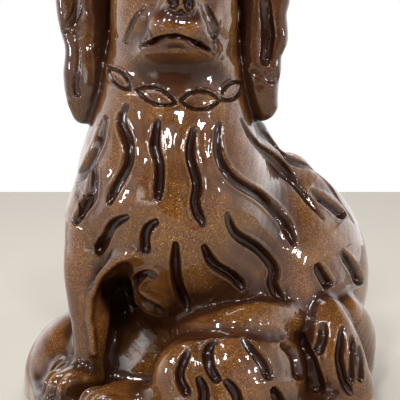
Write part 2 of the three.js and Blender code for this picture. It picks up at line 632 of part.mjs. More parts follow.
/**
 * Facets the surface where the field is zero. Blocks of nodes that lie clear of the surface share one value,
 * and the others are worked out node by node. Each cell of the grid is six tetrahedra about one diagonal,
 * so neighbouring cells always share the same edges and the surface is closed.
 */
function facetField(field) {
  const count = BOX_LOW.map((low, i) => Math.floor((BOX_HIGH[i] - low) / CELL) + 1);
  const stepOf = [1, count[0], count[0] * count[1]];
  const values = new Float32Array(count[0] * count[1] * count[2]);
  const placeOf = (node) => {
    const k = Math.floor(node / stepOf[2]);
    const j = Math.floor((node - k * stepOf[2]) / stepOf[1]);
    return [BOX_LOW[0] + (node - k * stepOf[2] - j * stepOf[1]) * CELL, BOX_LOW[1] + j * CELL, BOX_LOW[2] + k * CELL];
  };
  const fillBlock = (first, size) => {
    const reach = ((size - 1) / 2) * CELL;
    const value = field(first.map((n, i) => BOX_LOW[i] + n * CELL + reach));
    const slack = Math.sqrt(3) * reach * STEEPEST_FIELD;
    if (size > 1 && value > -slack - CARVING_DEEPEST && value < slack + CARVING_HIGHEST) {
      for (let corner = 0; corner < 8; corner += 1) {
        const start = first.map((n, i) => n + ((corner >> i) & 1) * (size / 2));
        if (start.every((n, i) => n < count[i])) {
          fillBlock(start, size / 2);
        }
      }
      return;
    }
    const last = first.map((n, i) => Math.min(n + size, count[i]));
    for (let k = first[2]; k < last[2]; k += 1) {
      for (let j = first[1]; j < last[1]; j += 1) {
        const row = first[0] + j * stepOf[1] + k * stepOf[2];
        values.fill(Math.abs(value) < 1e-4 ? 1e-4 : value, row, row + last[0] - first[0]);
      }
    }
  };
  for (let k = 0; k < count[2]; k += LARGEST_BLOCK) {
    for (let j = 0; j < count[1]; j += LARGEST_BLOCK) {
      for (let i = 0; i < count[0]; i += LARGEST_BLOCK) {
        fillBlock([i, j, k], LARGEST_BLOCK);
      }
    }
  }

  const vertices = [];
  const triangles = [];
  const vertexOnEdge = new Map();
  const vertexAt = (inside, outside) => {
    const key = Math.min(inside, outside) * values.length + Math.max(inside, outside);
    if (!vertexOnEdge.has(key)) {
      const t = clamp(values[inside] / (values[inside] - values[outside]), 0.06, 0.94);
      const a = placeOf(inside);
      const b = placeOf(outside);
      vertexOnEdge.set(key, vertices.length);
      vertices.push([mix(a[0], b[0], t), mix(a[1], b[1], t), mix(a[2], b[2], t)]);
    }
    return vertexOnEdge.get(key);
  };
  const addFacet = (a, b, c, inward, outward) => {
    const [p, q, r] = [vertices[a], vertices[b], vertices[c]];
    const u = [q[0] - p[0], q[1] - p[1], q[2] - p[2]];
    const v = [r[0] - p[0], r[1] - p[1], r[2] - p[2]];
    const normal = [u[1] * v[2] - u[2] * v[1], u[2] * v[0] - u[0] * v[2], u[0] * v[1] - u[1] * v[0]];
    const out = [outward[0] - inward[0], outward[1] - inward[1], outward[2] - inward[2]];
    triangles.push(dot(normal, out) > 0 ? [a, b, c] : [a, c, b]);
  };
  const middle = (nodes) => {
    const places = nodes.map(placeOf);
    return [0, 1, 2].map((i) => places.reduce((sum, place) => sum + place[i], 0) / nodes.length);
  };

  const axisOrders = [[0, 1, 2], [0, 2, 1], [1, 0, 2], [1, 2, 0], [2, 0, 1], [2, 1, 0]];
  const tetrahedra = axisOrders.map(([first, second]) => [
    0, stepOf[first], stepOf[first] + stepOf[second], stepOf[0] + stepOf[1] + stepOf[2],
  ]);
  const corners = [0, 1, 2, 3, 4, 5, 6, 7].map((bits) => (bits & 1 ? stepOf[0] : 0)
    + (bits & 2 ? stepOf[1] : 0) + (bits & 4 ? stepOf[2] : 0));
  for (let k = 0; k < count[2] - 1; k += 1) {
    for (let j = 0; j < count[1] - 1; j += 1) {
      for (let i = 0; i < count[0] - 1; i += 1) {
        const origin = i + j * stepOf[1] + k * stepOf[2];
        const within = corners.filter((corner) => values[origin + corner] < 0).length;
        if (within === 0 || within === 8) {
          continue;
        }
        for (const tetrahedron of tetrahedra) {
          const nodes = tetrahedron.map((corner) => origin + corner);
          const inside = nodes.filter((node) => values[node] < 0);
          const outside = nodes.filter((node) => values[node] >= 0);
          if (inside.length === 0 || outside.length === 0) {
            continue;
          }
          const inward = middle(inside);
          const outward = middle(outside);
          if (inside.length === 2) {
            const quad = [
              vertexAt(inside[0], outside[0]), vertexAt(inside[0], outside[1]),
              vertexAt(inside[1], outside[1]), vertexAt(inside[1], outside[0]),
            ];
            addFacet(quad[0], quad[1], quad[2], inward, outward);
            addFacet(quad[0], quad[2], quad[3], inward, outward);
          } else if (inside.length === 1) {
            const [a, b, c] = outside.map((node) => vertexAt(inside[0], node));
            addFacet(a, b, c, inward, outward);
          } else {
            const [a, b, c] = inside.map((node) => vertexAt(node, outside[0]));
            addFacet(a, b, c, inward, outward);
          }
        }
      }
    }
  }
  return { vertices, triangles };
}

/** Keeps only the outer shell: small hollows that the limbs close off inside are filled with clay. */
function outerShell({ vertices, triangles }) {
  const leader = vertices.map((_, v) => v);
  const leaderOf = (v) => {
    let at = v;
    while (leader[at] !== at) {
      leader[at] = leader[leader[at]];
      at = leader[at];
    }
    return at;
  };
  triangles.forEach(([a, b, c]) => {
    leader[leaderOf(b)] = leaderOf(a);
    leader[leaderOf(c)] = leaderOf(a);
  });
  const sizes = new Map();
  triangles.forEach(([a]) => sizes.set(leaderOf(a), (sizes.get(leaderOf(a)) ?? 0) + 1));
  const largest = [...sizes].reduce((best, entry) => (entry[1] > best[1] ? entry : best))[0];
  return { vertices, triangles: triangles.filter(([a]) => leaderOf(a) === largest) };
}

/** A heap that gives back the cheapest entry first. */
class CheapestFirst {
  constructor() {
    this.entries = [];
  }

  push(entry) {
    const heap = this.entries;
    let at = heap.length;
    heap.push(entry);
    while (at > 0) {
      const parent = (at - 1) >> 1;
      if (heap[parent].cost <= entry.cost) {
        break;
      }
      heap[at] = heap[parent];
      at = parent;
    }
    heap[at] = entry;
  }

  pop() {
    const heap = this.entries;
    const best = heap[0];
    const entry = heap.pop();
    if (heap.length > 0) {
      let at = 0;
      for (;;) {
        let child = 2 * at + 1;
        if (child >= heap.length) {
          break;
        }
        if (child + 1 < heap.length && heap[child + 1].cost < heap[child].cost) {
          child += 1;
        }
        if (heap[child].cost >= entry.cost) {
          break;
        }
        heap[at] = heap[child];
        at = child;
      }
      heap[at] = entry;
    }
    return best;
  }
}

/** The area normal of three points. */
function areaNormal(p, q, r) {
  const u = [q[0] - p[0], q[1] - p[1], q[2] - p[2]];
  const v = [r[0] - p[0], r[1] - p[1], r[2] - p[2]];
  return [u[1] * v[2] - u[2] * v[1], u[2] * v[0] - u[0] * v[2], u[0] * v[1] - u[1] * v[0]];
}

/** The squared-distance form of a plane, as its ten coefficients, weighted by the facet's area. */
function planeForm(p, q, r) {
  const normal = areaNormal(p, q, r);
  const size = Math.hypot(...normal);
  if (size < 1e-12) {
    return new Float64Array(10);
  }
  const [a, b, c] = normal.map((value) => value / size);
  const d = -(a * p[0] + b * p[1] + c * p[2]);
  return Float64Array.of(a * a, a * b, a * c, a * d, b * b, b * c, b * d, c * c, c * d, d * d)
    .map((value) => (value * size) / 2);
}

/** The summed squared distance of a point from the planes in a form. */
function formCost(q, p) {
  const [x, y, z] = p;
  return q[0] * x * x + 2 * q[1] * x * y + 2 * q[2] * x * z + 2 * q[3] * x
    + q[4] * y * y + 2 * q[5] * y * z + 2 * q[6] * y + q[7] * z * z + 2 * q[8] * z + q[9];
}

/** The point of least cost for a form, or null where the planes don't settle one. */
function bestPlace(q) {
  const det = q[0] * (q[4] * q[7] - q[5] * q[5]) - q[1] * (q[1] * q[7] - q[5] * q[2])
    + q[2] * (q[1] * q[5] - q[4] * q[2]);
  const scale = q[0] + q[4] + q[7];
  if (Math.abs(det) < 1e-4 * scale ** 3) {
    return null;
  }
  const x = -(q[3] * (q[4] * q[7] - q[5] * q[5]) - q[1] * (q[6] * q[7] - q[5] * q[8])
    + q[2] * (q[6] * q[5] - q[4] * q[8])) / det;
  const y = -(q[0] * (q[6] * q[7] - q[8] * q[5]) - q[3] * (q[1] * q[7] - q[5] * q[2])
    + q[2] * (q[1] * q[8] - q[6] * q[2])) / det;
  const z = -(q[0] * (q[4] * q[8] - q[5] * q[6]) - q[1] * (q[1] * q[8] - q[2] * q[6])
    + q[3] * (q[1] * q[5] - q[4] * q[2])) / det;
  return [x, y, z];
}

/** Merges edges, the least noticeable first, until `target` facets are left. The surface stays closed. */
function mergeFacets({ vertices, triangles }, target) {
  const facetsOf = vertices.map(() => new Set());
  const forms = vertices.map(() => new Float64Array(10));
  const version = new Int32Array(vertices.length);
  triangles.forEach((facet, index) => {
    const form = planeForm(...facet.map((v) => vertices[v]));
    facet.forEach((v) => {
      facetsOf[v].add(index);
      for (let i = 0; i < 10; i += 1) {
        forms[v][i] += form[i];
      }
    });
  });
  const neighboursOf = (v) => {
    const found = new Set();
    facetsOf[v].forEach((index) => triangles[index].forEach((other) => found.add(other)));
    found.delete(v);
    return found;
  };
  const heap = new CheapestFirst();
  const offer = (a, b) => {
    const form = forms[a].map((value, i) => value + forms[b][i]);
    const half = [0, 1, 2].map((i) => (vertices[a][i] + vertices[b][i]) / 2);
    const length = Math.hypot(...[0, 1, 2].map((i) => vertices[a][i] - vertices[b][i]));
    const best = bestPlace(form);
    const choices = [half, vertices[a], vertices[b]];
    if (best && Math.hypot(...[0, 1, 2].map((i) => best[i] - half[i])) < length) {
      choices.push(best);
    }
    const costs = choices.map((place) => formCost(form, place));
    const pick = costs.indexOf(Math.min(...costs));
    const cost = Math.max(costs[pick], 0) + 1e-4 * length * length;
    heap.push({ cost, a, b, place: choices[pick], stamp: version[a] + version[b] });
  };
  vertices.forEach((_, v) => neighboursOf(v).forEach((other) => {
    if (v < other) {
      offer(v, other);
    }
  }));

  const turnsOver = (v, gone, place) => {
    for (const index of facetsOf[v]) {
      const facet = triangles[index];
      if (!facet.includes(gone)) {
        const before = areaNormal(...facet.map((u) => vertices[u]));
        const after = areaNormal(...facet.map((u) => (u === v ? place : vertices[u])));
        const sizes = Math.hypot(...before) * Math.hypot(...after);
        if (Math.hypot(...after) < 1e-3 || dot(before, after) < 0.25 * sizes) {
          return true;
        }
      }
    }
    return false;
  };
  let left = triangles.length;
  while (left > target && heap.entries.length > 0) {
    const { a, b, place, stamp } = heap.pop();
    if (facetsOf[a].size === 0 || facetsOf[b].size === 0 || stamp !== version[a] + version[b]) {
      continue;
    }
    const around = neighboursOf(a);
    const shared = [...neighboursOf(b)].filter((v) => around.has(v));
    if (!around.has(b) || shared.length !== 2 || turnsOver(a, b, place) || turnsOver(b, a, place)) {
      continue;
    }
    vertices[a] = place;
    for (const index of [...facetsOf[b]]) {
      const facet = triangles[index];
      if (facet.includes(a)) {
        facet.forEach((v) => facetsOf[v].delete(index));
        triangles[index] = null;
        left -= 1;
      } else {
        facet[facet.indexOf(b)] = a;
        facetsOf[a].add(index);
        facetsOf[b].delete(index);
      }
    }
    for (let i = 0; i < 10; i += 1) {
      forms[a][i] += forms[b][i];
    }
    version[a] += 1;
    neighboursOf(a).forEach((v) => offer(a, v));
  }
  return { vertices, triangles: triangles.filter((facet) => facet !== null) };
}

/** Sets every point that lies at the underside exactly on the ground. */
function settle(vertices, within) {
  vertices.forEach((vertex) => {
    if (vertex[2] < within) {
      vertex[2] = 0;
    }
  });
}

function figureGeometry() {
  const faceted = outerShell(facetField(figureField()));
  settle(faceted.vertices, 0.4);
  const merged = mergeFacets(faceted, FACETS);
  settle(merged.vertices, 0.1);
  const positions = new Float32Array(merged.vertices.flat());
  const geometry = new THREE.BufferGeometry();
  geometry.setAttribute('position', new THREE.BufferAttribute(positions, 3));
  geometry.setIndex(merged.triangles.flat());
  geometry.computeBoundingBox();
  const { min, max } = geometry.boundingBox;
  geometry.translate(-(min.x + max.x) / 2, -(min.y + max.y) / 2, 0);
  geometry.computeVertexNormals();
  return geometry;
}

const treacleGlaze = new THREE.MeshStandardMaterial({ color: 0x4a2410, roughness: 0.15, metalness: 0 });

const spaniel = new THREE.Mesh(figureGeometry(), treacleGlaze);
spaniel.name = 'spaniel_figure';

const figurine = new THREE.Group();
figurine.name = 'pottery_spaniel';
figurine.add(spaniel);

export default figurine;
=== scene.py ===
"""Dresses the pottery spaniel: its modelled surface, its treacle glaze, and the studio it stands in.

The figure's form is one distance field, negative inside the clay and positive outside, in millimetres.
Balls, limbs and the base slab are melted together with soft unions. The locks of hair, the collar, the
mouth and the folds of the face are pressed into the field as tool strokes. The surface is where the field
is zero: it is netted on a fine lattice, thinned where it is smooth, and settled back onto the field.
"""
from __future__ import annotations

import itertools
import logging
import math
from dataclasses import dataclass, field
from enum import Enum
from typing import Callable, Sequence

import bpy
import numpy as np
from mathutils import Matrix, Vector


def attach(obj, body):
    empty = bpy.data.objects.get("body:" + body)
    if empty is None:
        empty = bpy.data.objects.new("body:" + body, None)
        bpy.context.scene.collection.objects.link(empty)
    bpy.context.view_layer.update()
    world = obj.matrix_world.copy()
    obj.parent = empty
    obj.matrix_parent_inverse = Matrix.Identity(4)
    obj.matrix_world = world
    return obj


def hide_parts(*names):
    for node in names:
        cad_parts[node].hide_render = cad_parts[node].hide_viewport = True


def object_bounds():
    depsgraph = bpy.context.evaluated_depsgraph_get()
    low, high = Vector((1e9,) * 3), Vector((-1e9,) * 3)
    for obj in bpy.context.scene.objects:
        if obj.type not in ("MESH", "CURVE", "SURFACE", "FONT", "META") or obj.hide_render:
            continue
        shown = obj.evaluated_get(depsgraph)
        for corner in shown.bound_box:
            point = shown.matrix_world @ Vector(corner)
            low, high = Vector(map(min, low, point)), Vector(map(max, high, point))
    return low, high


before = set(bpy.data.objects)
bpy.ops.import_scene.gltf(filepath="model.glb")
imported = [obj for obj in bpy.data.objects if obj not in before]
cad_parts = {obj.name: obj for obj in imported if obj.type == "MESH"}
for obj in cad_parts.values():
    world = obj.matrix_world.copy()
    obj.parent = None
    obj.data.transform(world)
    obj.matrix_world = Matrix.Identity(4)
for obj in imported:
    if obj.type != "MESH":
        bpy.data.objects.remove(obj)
CAD_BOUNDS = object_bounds()

LOG = logging.getLogger("spaniel")
Array = np.ndarray
Spot = tuple[float, float]
Place = tuple[float, float, float]
Knot = tuple[float, float, float, float]
Colour = tuple[float, float, float]
Levels = tuple[float, float, float, float]
MM = 0.001

# The stance: the face looks along -Y, and the body is turned to the viewer's left.
BODY_TURN = math.radians(50.0)
FORWARD = np.array([-math.sin(BODY_TURN), -math.cos(BODY_TURN), 0.0])
LEFT = np.array([math.cos(BODY_TURN), -math.sin(BODY_TURN), 0.0])
UP = np.array([0.0, 0.0, 1.0])
BODY_AXES = np.stack([FORWARD, LEFT, UP])
ROOM_AXES = np.eye(3)

# The viewer's eye, in the figure's modelling millimetres, and the sheet its front is drawn on.
EYE = np.array([0.0, -460.0, 168.0])
EYE_DOWN = math.radians(9.1)
DRAWING_AWAY = 460.0

# The top of the base, and where the middles of head, muzzle and nose lie along X.
BASE_HIGH = 12.5
HEAD_X = -12.0
MUZZLE_X = -9.0
NOSE_X = -7.8

# The least that a form's distance comes to, as a share of the true one, and a margin to add to it.
FIELD_SLACK = 0.7
FIELD_MARGIN = 0.1

# How deep in the clay a stroke is felt: about as deep as the deepest groove with its swell.
CARVED_DEEP = 4.6

# The sine of the steepest slant that a limb may narrow by.
STEEPEST = 0.95

# So small that dividing by it is as bad as by nothing.
TINY = 1e-9

# The corners of a lattice cell: one step or none along each axis.
CORNERS = tuple(itertools.product((0, 1), repeat=3))


class Sheet(Enum):
    """What a stroke is drawn on."""

    FRONT = "the viewer's drawing sheet"
    BODY_WRAP = "a cylinder about the body"
    HEAD_WRAP = "a cylinder about the head"


@dataclass(frozen=True)
class Wrap:
    """A cylinder that back strokes are drawn on, unrolled from the back of the figure."""

    centre: Spot
    radius: float


WRAPS = {
    Sheet.BODY_WRAP: Wrap((12.0, -14.0), 55.0),
    Sheet.HEAD_WRAP: Wrap((-12.0, -24.0), 30.0),
}


def soft_union(a: Array, b: Array, blend: float) -> Array:
    """Melts two distances together.

    The smaller one counts, less a quarter of the blend where the two are equal.

    Args:
        a: Distances to the first form.
        b: Distances to the second form.
        blend: Width over which they melt, in millimetres.

    Returns:
        Distances to the melted form.
    """
    if blend <= 0.0:
        return np.minimum(a, b)
    share = np.clip(0.5 + 0.5 * (b - a) / blend, 0.0, 1.0)
    return b + (a - b) * share - blend * share * (1.0 - share)


def soft_cut(a: Array, b: Array, blend: float) -> Array:
    """Takes form b away from form a, with the edge softened over the blend."""
    return -soft_union(-a, b, blend)


def around(centre: Sequence[float], reach: float) -> tuple[Array, Array]:
    """Gives the lowest and highest corners of a box that reaches equally far from a centre each way."""
    return np.array(centre) - reach, np.array(centre) + reach


def lengths_of(rows: Array) -> Array:
    """Gives the length of each row: the root of the sum of its squares."""
    return np.sqrt((rows ** 2).sum(-1))


def out_of_box(points: Array, low: Array, high: Array) -> Array:
    """Gives the distance of each point to a box, nothing inside it."""
    return lengths_of(np.maximum(np.maximum(low - points, points - high), 0.0))


def block(values: Array, first: Sequence[int], shape: Sequence[int]) -> Array:
    """Gives the block of a grid that starts at its node first and has a shape."""
    return values[tuple(slice(start, start + size) for start, size in zip(first, shape))]


def neighbours(axis: int) -> tuple[tuple[slice, ...], tuple[slice, ...]]:
    """Gives the two parts of a grid whose members are each other's neighbours along an axis.

    Args:
        axis: The axis.

    Returns:
        Every node but the first along the axis, and every node but the last.
    """
    front = [slice(None)] * 3
    back = [slice(None)] * 3
    front[axis] = slice(1, None)
    back[axis] = slice(None, -1)
    return tuple(front), tuple(back)


def smooth_curve(knots: Sequence[Sequence[float]], per: int) -> Array:
    """Runs a smooth cubic through knots of any number of coordinates.

    Each span is the cubic whose slope at a knot is half the step between that knot's neighbours.

    Args:
        knots: The knots, one row each.
        per: Points worked out in each span.

    Returns:
        The points of the curve, one row each.
    """
    rows = np.array(knots, float)
    if len(rows) == 2:
        return rows
    run = np.vstack([2 * rows[0] - rows[1], rows, 2 * rows[-1] - rows[-2]])
    t = (np.arange(per) / per)[None, :, None]
    p0, p1, p2, p3 = (run[i:len(rows) - 1 + i][:, None, :] for i in range(4))
    spans = 0.5 * (2 * p1 + (p2 - p0) * t + (2 * p0 - 5 * p1 + 4 * p2 - p3) * t ** 2
                   + (3 * p1 - p0 - 3 * p2 + p3) * t ** 3)
    return np.vstack([spans.reshape(-1, rows.shape[1]), rows[-1]])


@dataclass(frozen=True)
class Ball:
    """A stretched ball, its radii along three axes."""

    centre: Place
    radii: Place
    on_body: bool = False

    def box(self) -> tuple[Array, Array]:
        """Gives the lowest and highest corners that hold the ball."""
        return around(self.centre, max(self.radii))

    def distance(self, points: Array) -> Array:
        """Gives the distance, true close to the surface: unit radius times its excess over its slope.

        Args:
            points: Points of the room.

        Returns:
            The distance of each point.
        """
        axes = BODY_AXES if self.on_body else ROOM_AXES
        along = ((points - np.array(self.centre)) @ axes.T) / np.array(self.radii)
        unit = lengths_of(along)
        slope = lengths_of(along / np.array(self.radii))
        return unit * (unit - 1.0) / np.maximum(slope, TINY)


@dataclass(frozen=True)
class Limb:
    """A round limb along a smooth curve. Each knot is x, y, z and the radius there."""

    knots: tuple[Knot, ...]
    per: int = 6

    def points(self) -> Array:
        """Gives the curve's points, with the radius as the fourth column."""
        return smooth_curve(self.knots, self.per)

    def box(self) -> tuple[Array, Array]:
        """Gives the lowest and highest corners that hold the limb."""
        rows = self.points()
        return (rows[:, :3] - rows[:, 3:]).min(0), (rows[:, :3] + rows[:, 3:]).max(0)

    def distance(self, points: Array) -> Array:
        """Gives the distance to the nearest span, each the skin of a ball rolled from one radius to the next.

        The ball that touches the skin nearest a point sits behind the foot of its perpendicular by the
        distance off the line times the tangent of the cone's slant.

        Args:
            points: Points of the room.

        Returns:
            The distance of each point.
        """
        nearest = np.full(len(points), np.inf)
        rows = self.points()
        for start, end in zip(rows, rows[1:]):
            along = end[:3] - start[:3]
            length = math.sqrt(along @ along)
            sine = min(max((start[3] - end[3]) / length, -STEEPEST), STEEPEST)
            slant = sine / math.sqrt(1.0 - sine * sine)
            away = points - start[:3]
            far = away @ along / length
            off = np.sqrt(np.maximum((away * away).sum(-1) - far * far, 0.0))
            seat = np.clip(far - off * slant, 0.0, length)
            reach = np.hypot(off, far - seat) - (start[3] - sine * seat)
            nearest = np.minimum(nearest, reach)
        return nearest


@dataclass(frozen=True)
class Wedge:
    """A block between flat faces, its edges rounded. Each face is a point on it and the way it faces."""

    centre: Place
    reach: float
    faces: tuple[tuple[Place, Place], ...]
    rounding: float

    def box(self) -> tuple[Array, Array]:
        """Gives the lowest and highest corners that hold the wedge."""
        return around(self.centre, self.reach)

    def distance(self, points: Array) -> Array:
        """Gives the greatest way out through any face, melted where faces meet.

        Args:
            points: Points of the room.

        Returns:
            The distance of each point.
        """
        ways = [(points - np.array(spot)) @ (np.array(facing) / np.linalg.norm(facing))
                for spot, facing in self.faces]
        value = ways[0]
        for way in ways[1:]:
            value = soft_cut(value, -way, self.rounding)
        return value


@dataclass(frozen=True)
class Slab:
    """The oval slab of the base, its rim rounded over at the top."""

    centre: Spot
    half_long: float
    half_wide: float
    top: float
    rounding: float
    under: float = 5.0

    def box(self) -> tuple[Array, Array]:
        """Gives the lowest and highest corners that hold the slab, and a little room under it."""
        low, high = around((*self.centre, 0.0), self.half_long)
        return np.array([*low[:2], -self.under]), np.array([*high[:2], self.top])

    def distance(self, points: Array) -> Array:
        """Gives the greater of the way out sideways and the way out at the top, melted at the rim.

        Args:
            points: Points of the room.

        Returns:
            The distance of each point.
        """
        away = points - np.array([*self.centre, 0.0])
        out = np.hypot(away @ FORWARD / self.half_long, away @ LEFT / self.half_wide)
        side = (out - 1.0) * (self.half_long + self.half_wide) / 2.0
        return -soft_union(-side, self.top - points[:, 2], self.rounding)


def on_sheet(points: Array, sheet: Sheet) -> Array:
    """Finds where points of the figure lie on a sheet.

    On the front sheet a point goes where the line from it to the eye crosses the sheet. On a wrap it goes
    to the angle round from the back, times the radius, and its height.

    Args:
        points: Points of the figure.
        sheet: The sheet.

    Returns:
        Two coordinates in millimetres, one row for each point.
    """
    if sheet is Sheet.FRONT:
        away = points - EYE
        deep = away[:, 1] * math.cos(EYE_DOWN) - away[:, 2] * math.sin(EYE_DOWN)
        above = away[:, 1] * math.sin(EYE_DOWN) + away[:, 2] * math.cos(EYE_DOWN)
        return DRAWING_AWAY * np.stack([away[:, 0] / deep, above / deep], -1)
    wrap = WRAPS[sheet]
    turn = np.arctan2(points[:, 0] - wrap.centre[0], points[:, 1] - wrap.centre[1])
    return np.stack([turn * wrap.radius, points[:, 2]], -1)


@dataclass(frozen=True)
class Stroke:
    """A tool stroke: a groove with tapered ends, a raised lip and a wide swell, or a raised bead.

    The swell is a shallow dip that runs wide of the groove. A bead is a stroke of negative depth.
    """

    path: tuple[Spot, ...]
    half: float = 3.0
    depth: float = 2.5
    taper: float = 0.3
    swell: float = 0.16
    lip: float = 0.1
    sheet: Sheet = Sheet.FRONT

    # The section: its measures in half widths of the stroke, and how banks and floor share its depth.
    BANK_WIDE = 0.55
    BANK_SHARE = 0.8
    FLOOR_SHARE = 0.2
    LIP_PLACE = 1.22
    LIP_WIDE = 0.3
    SWELL_WIDE = 2.6
    # How wide the ends are beside the middle, and how long the last taper is beside the first.
    END_WIDE = 0.4
    LAST_TAPER = 0.4
    # How far past its path a stroke is worked out, in half widths and in millimetres.
    REACH = 3.2
    MARGIN = 3.0
    POINTS_IN_SPAN = 5

    def box(self) -> tuple[Array, Array]:
        """Gives the corners of the part of the sheet that the stroke changes."""
        margin = self.half * self.REACH + self.MARGIN
        return np.min(self.path, axis=0) - margin, np.max(self.path, axis=0) + margin

    def relief(self, spots: Array) -> Array:
        """Works out how deep the stroke is at spots on its sheet.

        The cut has a nearly flat floor and steep banks, which fall in a smooth step over half its width. The
        lip is a narrow bell just outside the cut, and the swell a wide one.

        Args:
            spots: Places on the sheet.

        Returns:
            Depth at each spot, less than nothing where the lip stands up.
        """
        rows = smooth_curve(self.path, self.POINTS_IN_SPAN)
        steps = np.diff(rows, axis=0)
        lengths = lengths_of(steps)
        run = np.concatenate([[0.0], np.cumsum(lengths)])
        nearest = np.full(len(spots), np.inf)
        place = np.zeros(len(spots))
        for i, step in enumerate(steps):
            away = spots - rows[i]
            t = np.clip(away @ step / lengths[i] ** 2, 0.0, 1.0)
            off = away - t[:, None] * step
            reach = (off * off).sum(-1)
            closer = reach < nearest
            nearest[closer] = reach[closer]
            place[closer] = run[i] + t[closer] * lengths[i]
        offset = np.sqrt(nearest)
        along = place / run[-1]
        first = np.clip(along / self.taper, 0.0, 1.0)
        last = np.clip((1.0 - along) / (self.taper * self.LAST_TAPER), 0.0, 1.0)
        fade = np.sqrt(first * last)
        across = offset / (self.half * (self.END_WIDE + (1.0 - self.END_WIDE) * fade))
        bank = np.clip((1.0 - across) / self.BANK_WIDE, 0.0, 1.0)
        floor = self.FLOOR_SHARE * np.clip(1.0 - across, 0.0, 1.0)
        cut = self.BANK_SHARE * bank * bank * (3.0 - 2.0 * bank) + floor
        lip = self.lip * np.exp(-((across - self.LIP_PLACE) / self.LIP_WIDE) ** 2)
        swell = self.swell * np.exp(-(offset / (self.SWELL_WIDE * self.half)) ** 2)
        return self.depth * fade * (cut + swell - lip)


@dataclass(frozen=True)
class Link:
    """One link of the collar: a pointed oval drawn with a narrow groove and a raised lip outside it."""

    centre: Spot
    half_long: float
    half_high: float
    tilt: float
    width: float = 0.8
    depth: float = 1.25
    lip: float = 0.3
    lip_place: float = 1.7
    lip_wide: float = 0.5
    margin: float = 3.0
    sheet: Sheet = Sheet.FRONT

    def box(self) -> tuple[Array, Array]:
        """Gives the corners of the part of the sheet that the link changes."""
        return around(self.centre, self.half_long + self.margin)

    def relief(self, spots: Array) -> Array:
        """Works out the groove: two arcs that meet in points, each as far off as its bow's radius.

        Args:
            spots: Places on the sheet.

        Returns:
            Depth at each spot, less than nothing where the lip stands up.
        """
        turn = math.radians(self.tilt)
        away = spots - np.array(self.centre)
        along = away[:, 0] * math.cos(turn) + away[:, 1] * math.sin(turn)
        across = np.abs(away[:, 1] * math.cos(turn) - away[:, 0] * math.sin(turn))
        bow = (self.half_long ** 2 + self.half_high ** 2) / (2.0 * self.half_high)
        line = np.abs(np.hypot(along, across + bow - self.half_high) - bow)
        groove = np.clip(1.0 - (line / self.width) ** 2, 0.0, 1.0)
        lip = self.lip * np.exp(-((line - self.lip_place * self.width) / self.lip_wide) ** 2)
        return self.depth * (groove - lip)


